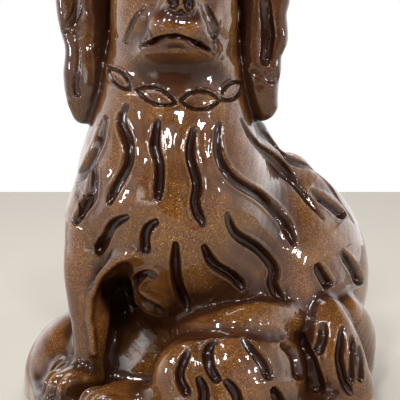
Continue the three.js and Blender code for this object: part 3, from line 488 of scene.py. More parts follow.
@dataclass
class Region:
    """One region of the figure: forms melted together, what is cut from them, and the strokes on them.

    Trims are forms added after the cuts. Each form, cut or trim goes with the width of its melted edge.
    """

    name: str
    forms: list
    cuts: list = field(default_factory=list)
    strokes: list = field(default_factory=list)
    trims: list = field(default_factory=list)
    blend: float = 5.0
    front_limit: float = 20.0
    back_limit: float = -30.0
    reach: float = 10.0

    # Strokes fade out over these lengths at their limits, and over this turn away from the eye.
    FRONT_FADE = 8.0
    BACK_FADE = 14.0
    TURN_FADE = 0.3
    # Points further out than this are not carved. The slope is read over a step, and kept from nothing.
    CARVED_HIGH = 1.8
    SLOPE_STEP = 0.5
    LEAST_STEEP = 0.1

    def __post_init__(self) -> None:
        """Works out the box of each form, and the box that holds them all."""
        boxes = [form.box() for form, _ in self.forms]
        self.low = np.min([low for low, _ in boxes], axis=0)
        self.high = np.max([high for _, high in boxes], axis=0)
        self.steps = [(form, blend, joined, *form.box()) for joined, parts in
                      ((True, self.forms), (False, self.cuts), (True, self.trims)) for form, blend in parts]

    def plain(self, points: Array) -> Array:
        """Gives the distance to the region without its strokes.

        A form is worked out only at the points where it can change the distance found so far: those whose
        way out of its box, less a margin for the forms' inexact distances, is within its blend of it.

        Args:
            points: Points of the room.

        Returns:
            The distance of each point.
        """
        value = self.steps[0][0].distance(points)
        for form, blend, joined, low, high in self.steps[1:]:
            away = FIELD_SLACK * out_of_box(points, low, high)
            near = np.flatnonzero(away < (value if joined else -value) + blend + FIELD_MARGIN)
            if len(near) == 0:
                continue
            melt = soft_union if joined else soft_cut
            value[near] = melt(value[near], form.distance(points[near]), blend)
        return value

    def carving(self, points: Array, normals: Array) -> Array:
        """Gives the depth of the strokes at points of the uncarved surface.

        Where grooves cross the deepest counts, and lips and beads add to it. Strokes of the front sheet
        fade out where the surface turns away from the eye.

        Args:
            points: Points of the uncarved surface.
            normals: The way the surface faces there.

        Returns:
            How far the surface is pressed in at each point.
        """
        to_eye = EYE - points
        toward = np.clip((normals * to_eye).sum(1) / lengths_of(to_eye) / self.TURN_FADE, 0.0, 1.0)
        facing = np.clip((self.front_limit - points[:, 1]) / self.FRONT_FADE, 0.0, 1.0) * toward
        behind = np.clip((points[:, 1] - self.back_limit) / self.BACK_FADE, 0.0, 1.0)
        spots = {sheet: on_sheet(points, sheet) for sheet in {stroke.sheet for stroke in self.strokes}}
        groove = np.zeros(len(points))
        raised = np.zeros(len(points))
        for stroke in self.strokes:
            low, high = stroke.box()
            spot = spots[stroke.sheet]
            near = np.flatnonzero(((spot > low) & (spot < high)).all(1))
            if len(near) == 0:
                continue
            share = facing if stroke.sheet is Sheet.FRONT else behind
            relief = stroke.relief(spot[near]) * share[near]
            groove[near] = np.maximum(groove[near], relief)
            raised[near] = np.minimum(raised[near], relief)
        return groove + raised

    def distance(self, points: Array) -> Array:
        """Gives the distance to the carved region.

        Far from the region the distance to its box stands in. Near the surface the carving is read at the
        nearest uncarved point, so a groove runs straight down into the clay.

        Args:
            points: Points of the room.

        Returns:
            The distance of each point.
        """
        value = out_of_box(points, self.low, self.high)
        near = np.flatnonzero(value <= self.reach)
        if len(near) == 0:
            return value
        close = points[near]
        plain = self.plain(close)
        if self.strokes:
            shallow = np.flatnonzero((plain > -CARVED_DEEP) & (plain < self.CARVED_HIGH))
            spots = close[shallow]
            start = plain[shallow]
            slope = np.stack([(self.plain(spots + self.SLOPE_STEP * axis) - start) / self.SLOPE_STEP
                              for axis in ROOM_AXES], -1)
            steepness = np.maximum((slope ** 2).sum(1), self.LEAST_STEEP)
            foot = spots - (start / steepness)[:, None] * slope
            plain[shallow] = start + self.carving(foot, slope / np.sqrt(steepness)[:, None])
        value[near] = plain
        return value


def cut_strokes(paths: Sequence[Sequence[Spot]], half: float, depth: float, **section: float) -> list[Stroke]:
    """Cuts strokes of one tool along several paths.

    Args:
        paths: The strokes' paths on the front sheet.
        half: Half the width of the tool.
        depth: Depth of the strokes.
        section: The strokes' taper, swell and lip, where they differ from the usual ones.

    Returns:
        The strokes.
    """
    return [Stroke(path, half, depth, **section) for path in paths]


def rows_of_locks(sheet: Sheet, heights: Sequence[float], columns: int, spread: float, length: float,
                  sway: float, half: float, depth: float) -> list[Stroke]:
    """Draws staggered rows of S-shaped locks round the back, plainer than the front.

    Args:
        sheet: The wrap they are drawn on.
        heights: Height of the middle of each row.
        columns: Locks in a row.
        spread: Degrees that a row runs each way from the middle of the back.
        length: Length of a lock.
        sway: How far a lock's foot leans outwards.
        half: Half the width of the tool.
        depth: Depth of the strokes.

    Returns:
        The strokes.
    """
    unevenness = 0.12
    # How far out each knot of a lock lies, in leans, and how far up, in parts of the lock's length.
    knots = ((0.0, 2), (0.1, 6), (1.0, -6), (1.5, -2))
    strokes = []
    for (row, height), column in itertools.product(enumerate(heights), range(columns)):
        turn = spread * (2.0 * (column + 0.5 * (row % 2)) / (columns - 1) - 1.0)
        along = math.radians(turn) * WRAPS[sheet].radius
        long = length * (1.0 + unevenness * math.sin(2.3 * row + 1.7 * column))
        lean = sway if turn > 0.0 else -sway
        path = tuple((along + lean * out, height + long / part) for out, part in knots)
        strokes.append(Stroke(path, half=half, depth=depth, sheet=sheet))
    return strokes


@dataclass
class NetLattice:
    """The lattice that the surface is netted on, from coarse to fine."""

    step: float
    low: Place = (-112.0, -113.0, -3.5)
    high: Place = (110.0, 90.0, 242.0)
    levels: tuple[int, ...] = (4, 2, 1)
    points_at_once: int = 200000
    least_value: float = 1e-5

    # At the first refinement, cells are kept whose middle lies within some steps of the finer level of
    # the surface, and past those within the depth of a groove inside or the height of a lip outside.
    NEAR_STEPS = 1.9
    NEAR_OUTSIDE = 1.0

    def counts(self) -> Array:
        """Gives the number of fine nodes each way, one more than a multiple of the coarsest step."""
        coarse = self.step * self.levels[0]
        return np.ceil(np.subtract(self.high, self.low) / coarse).astype(int) * self.levels[0] + 1

    def sample(self, distance: Callable[[Array], Array]) -> Array:
        """Works out the field at the nodes, finely only near the surface.

        Every node of the coarsest level is worked out. At each finer level only the nodes in cells near the
        surface are, and the others keep the value of the level above.

        Args:
            distance: The figure's field.

        Returns:
            Values at the fine nodes.
        """
        shapes = {level: (self.counts() - 1) // level + 1 for level in self.levels}
        wanted = np.ones(shapes[self.levels[0]], bool)
        values = np.zeros(wanted.shape, np.float32)
        for level in self.levels:
            if level < self.levels[0]:
                wanted, values = self._refine(values, shapes[level], level)
            where = np.argwhere(wanted)
            for part in np.array_split(where, max(1, len(where) // self.points_at_once)):
                points = np.array(self.low) + part * (self.step * level)
                values[tuple(part.T)] = distance(points)
        values[np.abs(values) < self.least_value] = self.least_value
        return values

    def _refine(self, values: Array, shape: Array, level: int) -> tuple[Array, Array]:
        """Copies a level's values onto the next finer one and marks the nodes near the surface.

        Args:
            values: Values at the nodes of the coarser level.
            shape: Number of nodes each way of the finer one.
            level: How many fine steps lie between the finer one's nodes.

        Returns:
            Which nodes of the finer level are wanted, and the values it starts with.
        """
        corners = [block(values, corner, np.array(values.shape) - 1) for corner in CORNERS]
        if level * 2 == self.levels[0]:
            middle = sum(corners) / len(CORNERS)
            slack = self.step * level * self.NEAR_STEPS
            cells = (middle > -slack - CARVED_DEEP) & (middle < slack + self.NEAR_OUTSIDE)
        else:
            cells = (np.minimum.reduce(corners) < 0.0) & (np.maximum.reduce(corners) >= 0.0)
            for axis in range(3):
                front, back = neighbours(axis)
                spread = cells.copy()
                spread[front] |= cells[back]
                spread[back] |= cells[front]
                cells = spread
        wanted = np.zeros(shape, bool)
        fresh = np.empty(shape, np.float32)
        doubled = np.repeat(np.repeat(np.repeat(cells, 2, 0), 2, 1), 2, 2)
        for corner in CORNERS:
            target = tuple(slice(start, None, 2) for start in corner)
            fresh[target] = block(values, (0, 0, 0), fresh[target].shape)
            marked = block(wanted, corner, doubled.shape)
            marked |= doubled
        return wanted, fresh

    def net(self, values: Array) -> tuple[Array, Array]:
        """Nets the surface: a point in each cell that it crosses, and a face round each edge.

        A cell's point is the mean of where the surface crosses the cell's edges. A lattice edge whose ends
        lie on either side of the surface gets the four-sided face between the points of its four cells.

        Args:
            values: Values at the fine nodes.

        Returns:
            The points, and the faces as four point numbers each.
        """
        inside = values < 0.0
        cell_shape = tuple(np.array(values.shape) - 1)
        count = sum(block(inside, corner, cell_shape).astype(np.int8) for corner in CORNERS)
        cells = np.argwhere((count > 0) & (count < len(CORNERS)))
        number = np.full(cell_shape, -1, np.int32)
        number[tuple(cells.T)] = np.arange(len(cells))
        total = np.zeros((len(cells), 3))
        crossings = np.zeros(len(cells))
        units = np.eye(3, dtype=int)
        faces = []
        for axis in range(3):
            first, second = np.delete(units, axis, 0)
            for i, j in itertools.product((0, 1), repeat=2):
                start = cells + i * first + j * second
                a = values[tuple(start.T)].astype(float)
                b = values[tuple((start + units[axis]).T)].astype(float)
                cross = np.flatnonzero((a < 0.0) != (b < 0.0))
                t = a[cross] / (a[cross] - b[cross])
                total[cross] += start[cross] + t[:, None] * units[axis]
                crossings[cross] += 1.0
            front, back = neighbours(axis)
            edges = np.argwhere(inside[back] != inside[front])
            edges = edges[(np.delete(edges, axis, 1) > 0).all(1)]
            ring = [edges - first - second, edges - second, edges, edges - first]
            quads = np.stack([number[tuple(cell.T)] for cell in ring], -1)
            outward = inside[tuple(edges.T)]
            if axis == 1:
                outward = ~outward
            quads[~outward] = quads[~outward][:, ::-1]
            faces.append(quads)
        return np.array(self.low) + self.step * total / crossings[:, None], np.vstack(faces)


@dataclass
class SpanielFigure:
    """The dog and its base: one casting."""

    node: str = "spaniel_figure"
    fine_step: float = 0.82
    quick_step: float = 1.9
    most_triangles: int = 192000
    # The underside is all that lies lower than flat_high. The slope is read over a step each way.
    flat_high: float = 0.35
    faces_down: float = -0.5
    most_settled: float = 0.4
    settle_step: float = 0.35
    least_steep: float = 0.25
    normal_step: float = 0.45
    # How the glaze is read off the form, with the painted shade and the ears' darkening: see _glaze_depth and
    # _painted_shade.
    glaze_grain: Place = (0.31, 0.83, 0.46)
    glaze_step: float = 1.8
    pool_gain: float = 2.2
    edge_gain: float = 1.6
    ways: Spot = (4.0, 9.0)
    upward_lean: float = 0.9
    ear_darkening: float = 0.42
    ear_fade: float = 1.5
    ear_fade_start: float = 1.3
    # The height of the unevenness, in broad and in fine waves.
    broad_waves: float = 0.13
    fine_waves: float = 0.06
    regions: list[Region] = field(default_factory=list)

    def __post_init__(self) -> None:
        """Lays out the regions in the order they are melted together. Nothing is moved yet."""
        self.shift = np.zeros(3)
        self.regions = [
            self.torso(), self.forelegs(), self.far_haunch(), self.near_haunch(), self.flank_fold(),
            self.tail(), self.head(), self.ear(-1), self.ear(1), self.base(),
        ]

    def torso(self) -> Region:
        """Lays out chest, neck, back and belly, with the locks of the coat and the collar.

        Returns:
            The torso.
        """
        forms = [
            (Ball((25, 11, 52), (66.5, 57, 65), True), 0),
            (Ball((-12, -28, 98), (43, 45, 49)), 20),
            (Limb(((-14, -24, 112, 40), (HEAD_X, -25, 168, 29.5))), 14),
            (Ball((-19, -45, 64), (12, 12, 15)), 6),
            (Ball((-36, -10, 54), (14, 13, 22)), 6),
            (Limb(((15, -22, 137, 6), (23, -13, 129.5, 8), (28, -8, 122.5, 8), (34, -2, 115.5, 6.5),
                   (38, 5, 106, 3))), 2.5),
            (Limb(((35, -8, 115, 5), (46, 3, 109.5, 7.5), (53, 10, 102, 6), (58, 15, 94, 3))), 2.5),
            (Limb(((18, -27, 131, 4), (33, -14, 117, 5), (43.8, -6, 109.3, 5), (56, 3, 102, 5),
                   (65, 10, 92.5, 4))), 5),
        ]
        chest_locks = (
            ((-36, 47.5), (-39, 39), (-35.5, 28), (-36, 18), (-43, 4.5), (-45, -2.5)),
            ((-20.5, 40.5), (-22.5, 28), (-20, 16.5), (-21, -0.5)),
            ((-3, 36.5), (-4.5, 23), (-1, 8), (-2, -2), (2, -13)),
            ((9.5, 39), (9.5, 23), (17, 10.5), (32, 0.5), (42, -11), (46.5, -22.5)),
            ((57.5, -31), (60, -36), (64, -43)),
        )
        edge_locks = (
            ((54, 5.5), (65, -2), (72, -8.5)),
            ((69.5, -24.5), (76, -33.5), (79.5, -42)),
        )
        belly_locks = (
            ((13, -6), (18, -17), (29.5, -24.5), (36.5, -33.5), (36, -42), (41, -52)),
            ((1.5, -22), (7, -32), (17, -38.5), (22, -44.5)),
            ((-12, -20.5), (-12, -33.5), (-10.5, -43), (-5.5, -54.5)),
            ((-20.5, -10), (-26, -14.5), (-27.5, -20), (-26.8, -27)),
            ((-21, -39), (-26, -36.8), (-31.4, -39.6), (-34, -43.7), (-31.4, -49), (-23, -54), (-16, -56)),
        )
        collar = [
            Link((-39.5, 59.5), 7.3, 3.0, -45), Link((-21.5, 51), 10.0, 3.7, -20),
            Link((0, 49), 9.2, 4.4, 0), Link((15.5, 53.5), 6.4, 3.6, 40),
        ]
        mane_groove = ((18.9, -44.5, 137, 1.4), (21.7, -43.4, 132, 2.5), (25.4, -39.5, 126.7, 3.3),
                       (31.2, -26, 120.5, 3.7), (36.9, -18.8, 115, 3.8), (42.4, -15.2, 108.5, 3.6),
                       (48, -17.7, 102.3, 3.1), (53, -20.9, 95.9, 2.4), (58.3, -22, 89.8, 1.2))
        crest_groove = ((26.3, -26.3, 132.1, 1), (31.6, -16.9, 127.9, 2.1), (36.9, -10.3, 122.5, 2.8),
                        (42.3, -10.7, 117.3, 3), (49.1, -5.8, 113.7, 2.5), (56, 2.8, 110.3, 1.2))
        cuts = [(self.elbow_arch(), 3), (Limb(mane_groove), 1), (Limb(crest_groove), 1)]
        strokes = [
            *cut_strokes(chest_locks, 2.9, 2.8, swell=0.4, lip=0.16),
            *cut_strokes(belly_locks, 2.8, 2.8, swell=0.4, lip=0.16),
            *cut_strokes(edge_locks, 2.6, 3.4, swell=0.4),
            *self.shoulder_locks(),
            *collar,
            *rows_of_locks(Sheet.BODY_WRAP, (40, 68, 96), 8, 100, 26, 5, 2.6, 2.2),
        ]
        return Region("torso", forms, cuts, strokes, back_limit=-4)

    def shoulder_locks(self) -> list[Stroke]:
        """Gives the locks that run from the chest onto the top of the foreleg.

        Returns:
            Their strokes.
        """
        paths = (
            ((-46, 42), (-50.5, 28), (-55.5, 18), (-61, 8)),
            ((-52, 20.5), (-53, 8), (-54.5, -0.5), (-62, -12)),
            ((-35, -8), (-43, -12), (-47, -19), (-50, -27)),
        )
        return cut_strokes(paths, 2.6, 2.8, swell=0.4, lip=0.16)

    def elbow_arch(self) -> Limb:
        """Gives the hollow between the foreleg and the belly, up to the elbow."""
        return Limb(((-30.5, -66.5, 79.5, 1.6), (-34.5, -61.5, 75, 3.6), (-37.2, -58, 68, 5.6),
                     (-37.2, -50, 62, 7), (-37, -42, 58, 7.5), (-37, -33, 53, 7.5)))

    def foot(self, centre: Place, half_long: float, half_wide: float, toes: Sequence[float],
             toe_reach: float) -> list:
        """Lays out a foot with its toes side by side.

        Args:
            centre: Middle of the foot.
            half_long: Half its length.
            half_wide: Half its width.
            toes: How far each toe lies to the left of the middle.
            toe_reach: How far the middle toe lies ahead of the middle.

        Returns:
            The forms and their blends.
        """
        sunk = 1.5
        toe_lower = 0.8
        toe_set_back = 0.28
        toe_half_long = 7.0
        toe_half_wide = 3.6
        half_high = centre[2] - BASE_HIGH + sunk
        forms = [(Ball(centre, (half_long, half_wide, half_high), True), 5)]
        for side in toes:
            tip = np.array(centre) + FORWARD * (toe_reach - abs(side) * toe_set_back) + LEFT * side
            middle = (tip[0], tip[1], centre[2] - toe_lower)
            toe = Ball(middle, (toe_half_long, toe_half_wide, half_high - toe_lower), True)
            forms.append((toe, 1.6))
        return forms

    def forelegs(self) -> Region:
        """Lays out the two forelegs, one behind the other, with the casting ridge of the near one.

        Returns:
            The forelegs.
        """
        near_leg = ((-41.5, -34, 92, 20.5), (-50, -41, 66, 12.3), (-50.5, -43, 42, 8.4),
                    (-51.5, -44, 26, 6.6))
        far_leg = ((-41, -22, 90, 17), (-51.5, -28, 66, 12), (-51.5, -30, 42, 8.4), (-52.5, -31, 26, 6.8))
        toes = (-5.4, 0.0, 5.4)
        forms = [(Limb(near_leg), 0), (Limb(far_leg), 3)]
        forms += self.foot((-56, -50, 18.5), 14, 8.6, toes, 9)
        forms += self.foot((-56, -36, 18.5), 14, 8.6, toes, 9)
        ridge = ((-28.4, -66.7, 81.6, 0.9), (-31.4, -64.7, 80, 1.2), (-37.2, -59.8, 76.6, 1.3),
                 (-43.6, -56.2, 70, 1.4), (-47.4, -54, 62, 1.4), (-49, -53, 57.5, 1.3),
                 (-49.8, -52.4, 48.5, 1.3), (-48.9, -52.2, 42.5, 1.3), (-48.2, -51.2, 32, 1.2))
        return Region("forelegs", forms, [(self.elbow_arch(), 3)], self.shoulder_locks(), blend=6,
                      trims=[(Limb(ridge), 2)])

    def far_haunch(self) -> Region:
        """Lays out the smooth dome of the haunch on the dog's right, and its slope into the gap."""
        dome = Ball((-51.5, -3, 8), (39, 31, 33), True)
        return Region("far haunch", [(dome, 0), (Ball((-24, -19, 8), (22, 19, 42)), 14)], blend=7)

    def near_haunch(self) -> Region:
        """Lays out the furry haunch on the dog's left, with its foot.

        Returns:
            The haunch.
        """
        forms = [(Ball((15, -58, 20), (38, 27, 34), True), 0),
                 (Ball((-8, -76, 27), (11, 11, 17)), 9),
                 (Limb(((4, -76, 16, 10), (-20, -73, 16, 8))), 6)]
        forms += self.foot((-35, -70, 17.8), 17, 10.5, (-7.6, -2.6, 2.6, 7.6), 11)
        tufts = (
            ((8.5, -68), (4, -73), (5, -82), (9.5, -90)),
            ((20, -66), (26, -73), (32, -81), (34.5, -88.5)),
            ((40, -70), (47, -76), (49.5, -88.5)),
            ((-5.5, -73), (-10.5, -86), (-5.5, -97)),
            ((12, -88), (18, -95), (20, -104)),
            ((-1, -86), (2, -95), (1, -104)),
            ((36, -92), (40, -100), (40, -108)),
        )
        strokes = [*cut_strokes(tufts, 3.0, 2.8, swell=0.4), self.fold_groove()]
        return Region("near haunch", forms, strokes=strokes, blend=4)

    def fold_groove(self) -> Stroke:
        """Gives the groove between the roll of the flank and the furry haunch.

        Returns:
            Its stroke.
        """
        path = ((-14.3, -70.3), (-7.4, -66.8), (-2, -65.4), (7.4, -64.4), (19.7, -64.4), (30.5, -66),
                (42, -67.5))
        return Stroke(path, half=4.0, depth=1.3, taper=0.3, swell=0.1, lip=0.0)

    def flank_fold(self) -> Region:
        """Lays out the smooth roll that lies over the near haunch.

        Returns:
            The roll.
        """
        fold = ((-10, -52, 42, 2.5), (-2, -59, 47, 4.5), (19, -61, 51.5, 6.5), (36, -50, 49, 6),
                (48, -38, 41, 4))
        return Region("flank fold", [(Limb(fold), 0)], strokes=[self.fold_groove()], blend=7)

    def tail(self) -> Region:
        """Lays out the bushy tail that curls forward against the near haunch.

        Returns:
            The tail.
        """
        forms = [
            (Limb(((74, 22, 17, 10), (76, 2, 23, 13), (72, -14, 33, 13), (67, -24, 41, 12))), 0),
            (Ball((71.5, -14, 17), (17, 13, 17), True), 6),
            (Limb(((58, -36, 45, 10), (60, -41, 32, 14.5), (64, -41, 18, 15), (68, -38, 10, 14))), 3),
        ]
        locks = (
            (((48.4, -61), (49.6, -70.8), (53.4, -78.6), (56.9, -88.5), (59.5, -97)), 3.2, 3.2),
            (((60.5, -60), (59.5, -68.8), (56.5, -76)), 3.4, 2.6),
            (((70.3, -61.5), (69.5, -70.8), (68.8, -78.6), (70.8, -88.5), (74.2, -96)), 2.7, 3.2),
            (((74.7, -66), (75.7, -74.7), (75.4, -81.6), (74.5, -91)), 2.0, 2.6),
            (((78.3, -71), (79.3, -79.6), (79.2, -90)), 1.7, 2.0),
        )
        strokes = [Stroke(*lock, swell=0.3) for lock in locks]
        return Region("tail", forms, strokes=strokes, blend=3, front_limit=-20)

    def head(self) -> Region:
        """Lays out skull, cheeks, muzzle, nose, eyes and brows, with the mouth and the folds beside it.

        Returns:
            The head.
        """
        forms = [
            (Ball((HEAD_X, -25, 205), (29.5, 29, 28.5)), 0),
            (Ball((HEAD_X + 0.5, -36, 184), (27.5, 26, 22)), 12),
            (Wedge((MUZZLE_X, -50, 184), 30, (
                ((-8.5, -69.5, 182), (0, -0.975, -0.22)),
                ((-20.3, -62, 177.5), (-0.92, -0.24, 0.3)),
                ((3.3, -62, 177.5), (0.94, -0.12, 0.31)),
                ((-8, -66, 193.5), (0, -0.55, 0.835)),
                ((-9, -60, 168), (0, -0.3, -0.95)),
                ((-9, -40, 180), (0, 1, 0)),
            ), 6), 4),
            (Ball((MUZZLE_X - 0.5, -55, 168.8), (16, 12, 6.4)), 4),
            (Ball((NOSE_X, -68.5, 188.5), (6.4, 4.6, 4.6)), 2.5),
        ]
        cuts = [(Ball((MUZZLE_X - 1, -67, 156.3), (20, 13.5, 6.6)), 6)]
        trims = [(Ball((MUZZLE_X - 4.6, -64.4, 177.9), (8, 7.6, 6.7)), 2),
                 (Ball((MUZZLE_X + 4, -64.4, 176.9), (8, 7.6, 6.7)), 2)]
        brow = ((4.5, -56, 207), (10, -56.5, 209.5), (16, -54, 208.5), (21, -48.5, 203))
        lid = ((6.5, -56.5, 196.5), (12, -56.5, 194.2), (18, -52.5, 197))
        middle = MUZZLE_X - 1.2
        for side in (-1, 1):
            forms.append((Ball((MUZZLE_X - 0.7 + side * 14.4, -54, 181), (3.4, 4, 5.4)), 3))
            cuts.append((Ball((NOSE_X + side * 3.5, -73.6, 186.6 - side * 0.3), (3.1, 4.4, 3.5)), 0.7))
            cuts.append((Ball((middle + side * 13.5, -60.5, 199.5), (7.5, 8, 6)), 4))
            trims.append((Limb(tuple((middle + side * x, y, z, 2.3) for x, y, z in brow)), 2.5))
            trims.append((Limb(tuple((middle + side * x, y, z, 1.8) for x, y, z in lid)), 2))
            trims.append((Ball((middle + side * 12.5, -51.8, 200.2), (4.8, 4.8, 4.4)), 0.6))
        mouth = ((-29.2, 76.8), (-25.1, 77.4), (-19.2, 79.2), (-14.3, 80.1), (-9.8, 79.9), (-5.9, 78.4),
                 (-1.2, 76.7), (2.5, 75), (5.2, 73))
        lip_below = 2.4
        lower_lip = tuple((across, up - lip_below) for across, up in mouth)
        folds = (
            ((-26.2, 96), (-31.1, 90.9), (-34.4, 83.6), (-34.9, 76.2), (-33.5, 69)),
            ((2.5, 97), (6.9, 88.5), (8.4, 84.5), (6.4, 78.6), (8.2, 70)),
        )
        nose_wings = (
            ((-15.6, 97.8), (-15.2, 94.6), (-13, 93), (-10.6, 93.6), (-9.6, 95.8)),
            ((-8.6, 96.8), (-8.2, 93.6), (-6, 92), (-3.4, 92.6), (-2.6, 96)),
        )
        forehead_hair = (
            ((-12.8, 143), (-12.6, 133), (-12, 122)),
            ((-22, 143), (-30, 135), (-36, 123)),
            ((-3.5, 143), (5, 135), (11, 123)),
        )
        strokes = [
            Stroke(mouth, 1.2, 2.6, taper=0.06, swell=0.15, lip=0.0),
            *cut_strokes(nose_wings, 0.9, -0.6, taper=0.1, swell=0.0, lip=0.0),
            Stroke(lower_lip, 1.1, -0.35, taper=0.06, swell=0.0, lip=0.0),
            *cut_strokes(forehead_hair, 2.0, 1.6),
            *cut_strokes(folds, 1.4, 1.1),
            *rows_of_locks(Sheet.HEAD_WRAP, (182, 206), 6, 110, 22, 3, 2.2, 1.6),
        ]
        return Region("head", forms, cuts, strokes, trims, blend=8, front_limit=-20, back_limit=-40)

    def ear(self, side: int) -> Region:
        """Lays out a long ear: a broad inner lobe and a wavy outer roll, with the grooves between them.

        Args:
            side: -1 for the ear at the viewer's left, 1 for the other.

        Returns:
            The ear.
        """
        if side < 0:
            inner_lobe = ((-36, -20, 219, 6), (-46, -22, 207, 6.5), (-52, -24, 192, 6),
                          (-50.5, -25, 180, 5.6), (-51, -26, 168, 6.8), (-50.5, -27, 156, 7.2),
                          (-51.5, -26, 146, 6.4), (-52.5, -24, 139.5, 4.5))
            outer_roll = ((-40, -21, 220, 5.5), (-53, -23, 209, 6.5), (-59.5, -24, 196, 5.8),
                          (-60, -25, 184.5, 5.2), (-59.2, -25, 177, 4.4), (-57.8, -26, 168, 4.0),
                          (-58, -26, 156.5, 4.8), (-57.5, -25, 146, 4.3), (-54.5, -24, 139.5, 4.4))
            backing = ((-34, -17, 216, 7), (-44, -17, 200, 7.5), (-49, -18, 185, 8.5), (-49, -19, 168, 8.5),
                       (-50, -20, 152, 8), (-49.5, -21, 142, 5.5))
            grooves = (
                (((-62.5, 86), (-60.5, 78.6), (-59.7, 71.3), (-60.2, 63.9), (-60.9, 59), (-60.2, 50)),
                 1.3, 0.6),
                (((-59.5, 103), (-60.5, 93.5), (-63.4, 87.5), (-67, 82)), 3.0, 0.8),
                (((-49.5, 81.5), (-55, 78), (-60.5, 75.7)), 4.2, 0.5),
                (((-60.5, 63), (-61.4, 56.5), (-60, 50.5)), 2.0, 1.0),
            )
        else:
            inner_lobe = ((12, -20, 219, 6), (21, -22, 207, 6.5), (26.2, -24, 192, 5.8),
                          (25, -25, 180, 5.4), (24.8, -26, 168, 5.2), (25.3, -27, 159, 5.4),
                          (27, -26, 150, 5.8), (29, -24, 142, 5.4))
            outer_roll = ((16, -21, 220, 5.5), (29, -23, 209, 6.2), (35.5, -24, 195, 5.6),
                          (34.6, -25, 184, 5.0), (35.6, -25, 174, 4.8), (33.4, -26, 166.5, 4.2),
                          (32.8, -26, 160, 4.4), (31.2, -26, 152, 4.6), (30.5, -24, 144, 4.8))
            backing = ((10, -17, 216, 7), (20, -17, 200, 7.5), (25.5, -18, 185, 8.5), (25.5, -19, 168, 8.5),
                       (26.5, -20, 152, 8), (27.5, -21, 142, 5.5))
            grooves = (
                (((31.5, 104), (32, 95), (32.9, 88.5), (33.4, 80), (32.9, 72.5), (31.9, 66)), 3.2, 1.5),
                (((24, 65), (29, 62.4), (33.5, 62.4)), 2.6, 0.5),
                (((31.5, 61), (35.5, 59.3), (39.5, 60)), 2.6, 0.8),
                (((27.5, 57.5), (31.5, 54.5), (35, 48.5)), 2.6, 0.4),
            )
        forms = [(Limb(lobe, 4), 5) for lobe in (inner_lobe, outer_roll, backing)]
        strokes = [Stroke(*groove, taper=0.25, swell=0.3, lip=0.0) for groove in grooves]
        return Region("ear", forms, strokes=strokes, blend=2.5, front_limit=60)

    def base(self) -> Region:
        """Lays out the low oval base."""
        return Region("base", [(Slab((2, -11), 88, 75, BASE_HIGH, 4), 0)], blend=7)

    def distance(self, points: Array) -> Array:
        """Gives the distance to the whole figure, with the unevenness of hand-finished clay.

        The unevenness is the sum of broad and fine sine waves in room coordinates, at most a fifth of a
        millimetre.

        Args:
            points: Points of the room.

        Returns:
            The distance of each point.
        """
        value = self.regions[0].distance(points)
        for region in self.regions[1:]:
            value = soft_union(value, region.distance(points), region.blend)
        x, y, z = points.T
        sideways = np.sin(0.33 * x + 0.9 * np.sin(0.19 * z))
        upwards = np.sin(0.29 * z + 0.7 * np.sin(0.23 * y))
        broad = self.broad_waves * sideways * upwards
        fine = self.fine_waves * np.sin(0.81 * x + 0.37 * y) * np.sin(0.74 * z - 0.45 * y + 1.3)
        wobble = broad + fine
        return np.maximum(value + wobble, -z)

    def slope(self, points: Array, step: float) -> Array:
        """Gives the field's slope at points, from its change over a step each way.

        Args:
            points: Points of the room.
            step: How far each way the field is read.

        Returns:
            The slope, one row for each point.
        """
        return np.stack([self.distance(points + step * axis) - self.distance(points - step * axis)
                         for axis in ROOM_AXES], -1) / (2 * step)

    def build(self) -> bpy.types.Object:
        """Nets, thins and settles the surface and makes it one mesh.

        Returns:
            The figure's object.
        """
        lattice = NetLattice(self.fine_step)
        points, faces = lattice.net(lattice.sample(self.distance))
        points, triangles = self._thin(points, faces)
        flat = points[:, 2] < self.flat_high
        points = self._settle(points, flat)
        normals = self.slope(points, self.normal_step)
        normals /= np.maximum(np.linalg.norm(normals, axis=1, keepdims=True), TINY)
        # The edge is golden where the glaze thins, and partly a painted highlight along the rims of strokes.
        pool, edge = self._glaze_depth(points, normals)
        # Painted shade: the glaze is darkened in hollows and under overhangs, where shade falls, and on the
        # ears.
        painted_shade_and_dark_ears = self._painted_shade(points, normals)
        normals[flat & (normals[:, 2] < self.faces_down)] = (0.0, 0.0, -1.0)
        placed = self._into_frame(points) * MM
        mesh = bpy.data.meshes.new("spaniel")
        mesh.from_pydata(placed.tolist(), [], triangles.tolist(), shade_flat=False)
        mesh.validate()
        for name, values in (("pool", pool), ("edge", edge), ("painted_shade_and_dark_ears", painted_shade_and_dark_ears)):
            attribute = mesh.attributes.new(name, "FLOAT", "POINT")
            attribute.data.foreach_set("value", values.astype(np.float32))
        mesh.normals_split_custom_set_from_vertices(normals.astype(np.float32))
        figure = bpy.data.objects.new("spaniel", mesh)
        bpy.context.scene.collection.objects.link(figure)
        LOG.info("spaniel: %d triangles", len(triangles))
        return figure

    def _settle(self, points: Array, flat: Array) -> Array:
        """Moves points down or up the field's slope onto the surface, and the underside's onto the floor.

        Each goes as far as the field's value over the square of its slope, along the slope.

        Args:
            points: Points near the surface.
            flat: Which of them are on the underside.

        Returns:
            The settled points.
        """
        distance = self.distance(points)
        slope = self.slope(points, self.settle_step)
        steepness = np.maximum((slope ** 2).sum(1), self.least_steep)
        move = np.clip(distance / steepness, -self.most_settled, self.most_settled)[:, None] * slope
        settled = points - np.where(flat[:, None], 0.0, move)
        settled[flat, 2] = 0.0
        return settled

    def _into_frame(self, points: Array) -> Array:
        """Moves modelling millimetres so that the box's middle lies over the frame's origin.

        Args:
            points: Points where they were modelled.

        Returns:
            The moved points.
        """
        middle = (points.min(0) + points.max(0)) / 2.0
        centre = np.array([(a + b) / 2.0 for a, b in zip(*CAD_BOUNDS)]) / MM
        self.shift = np.array([centre[0] - middle[0], centre[1] - middle[1], 0.0])
        return points + self.shift

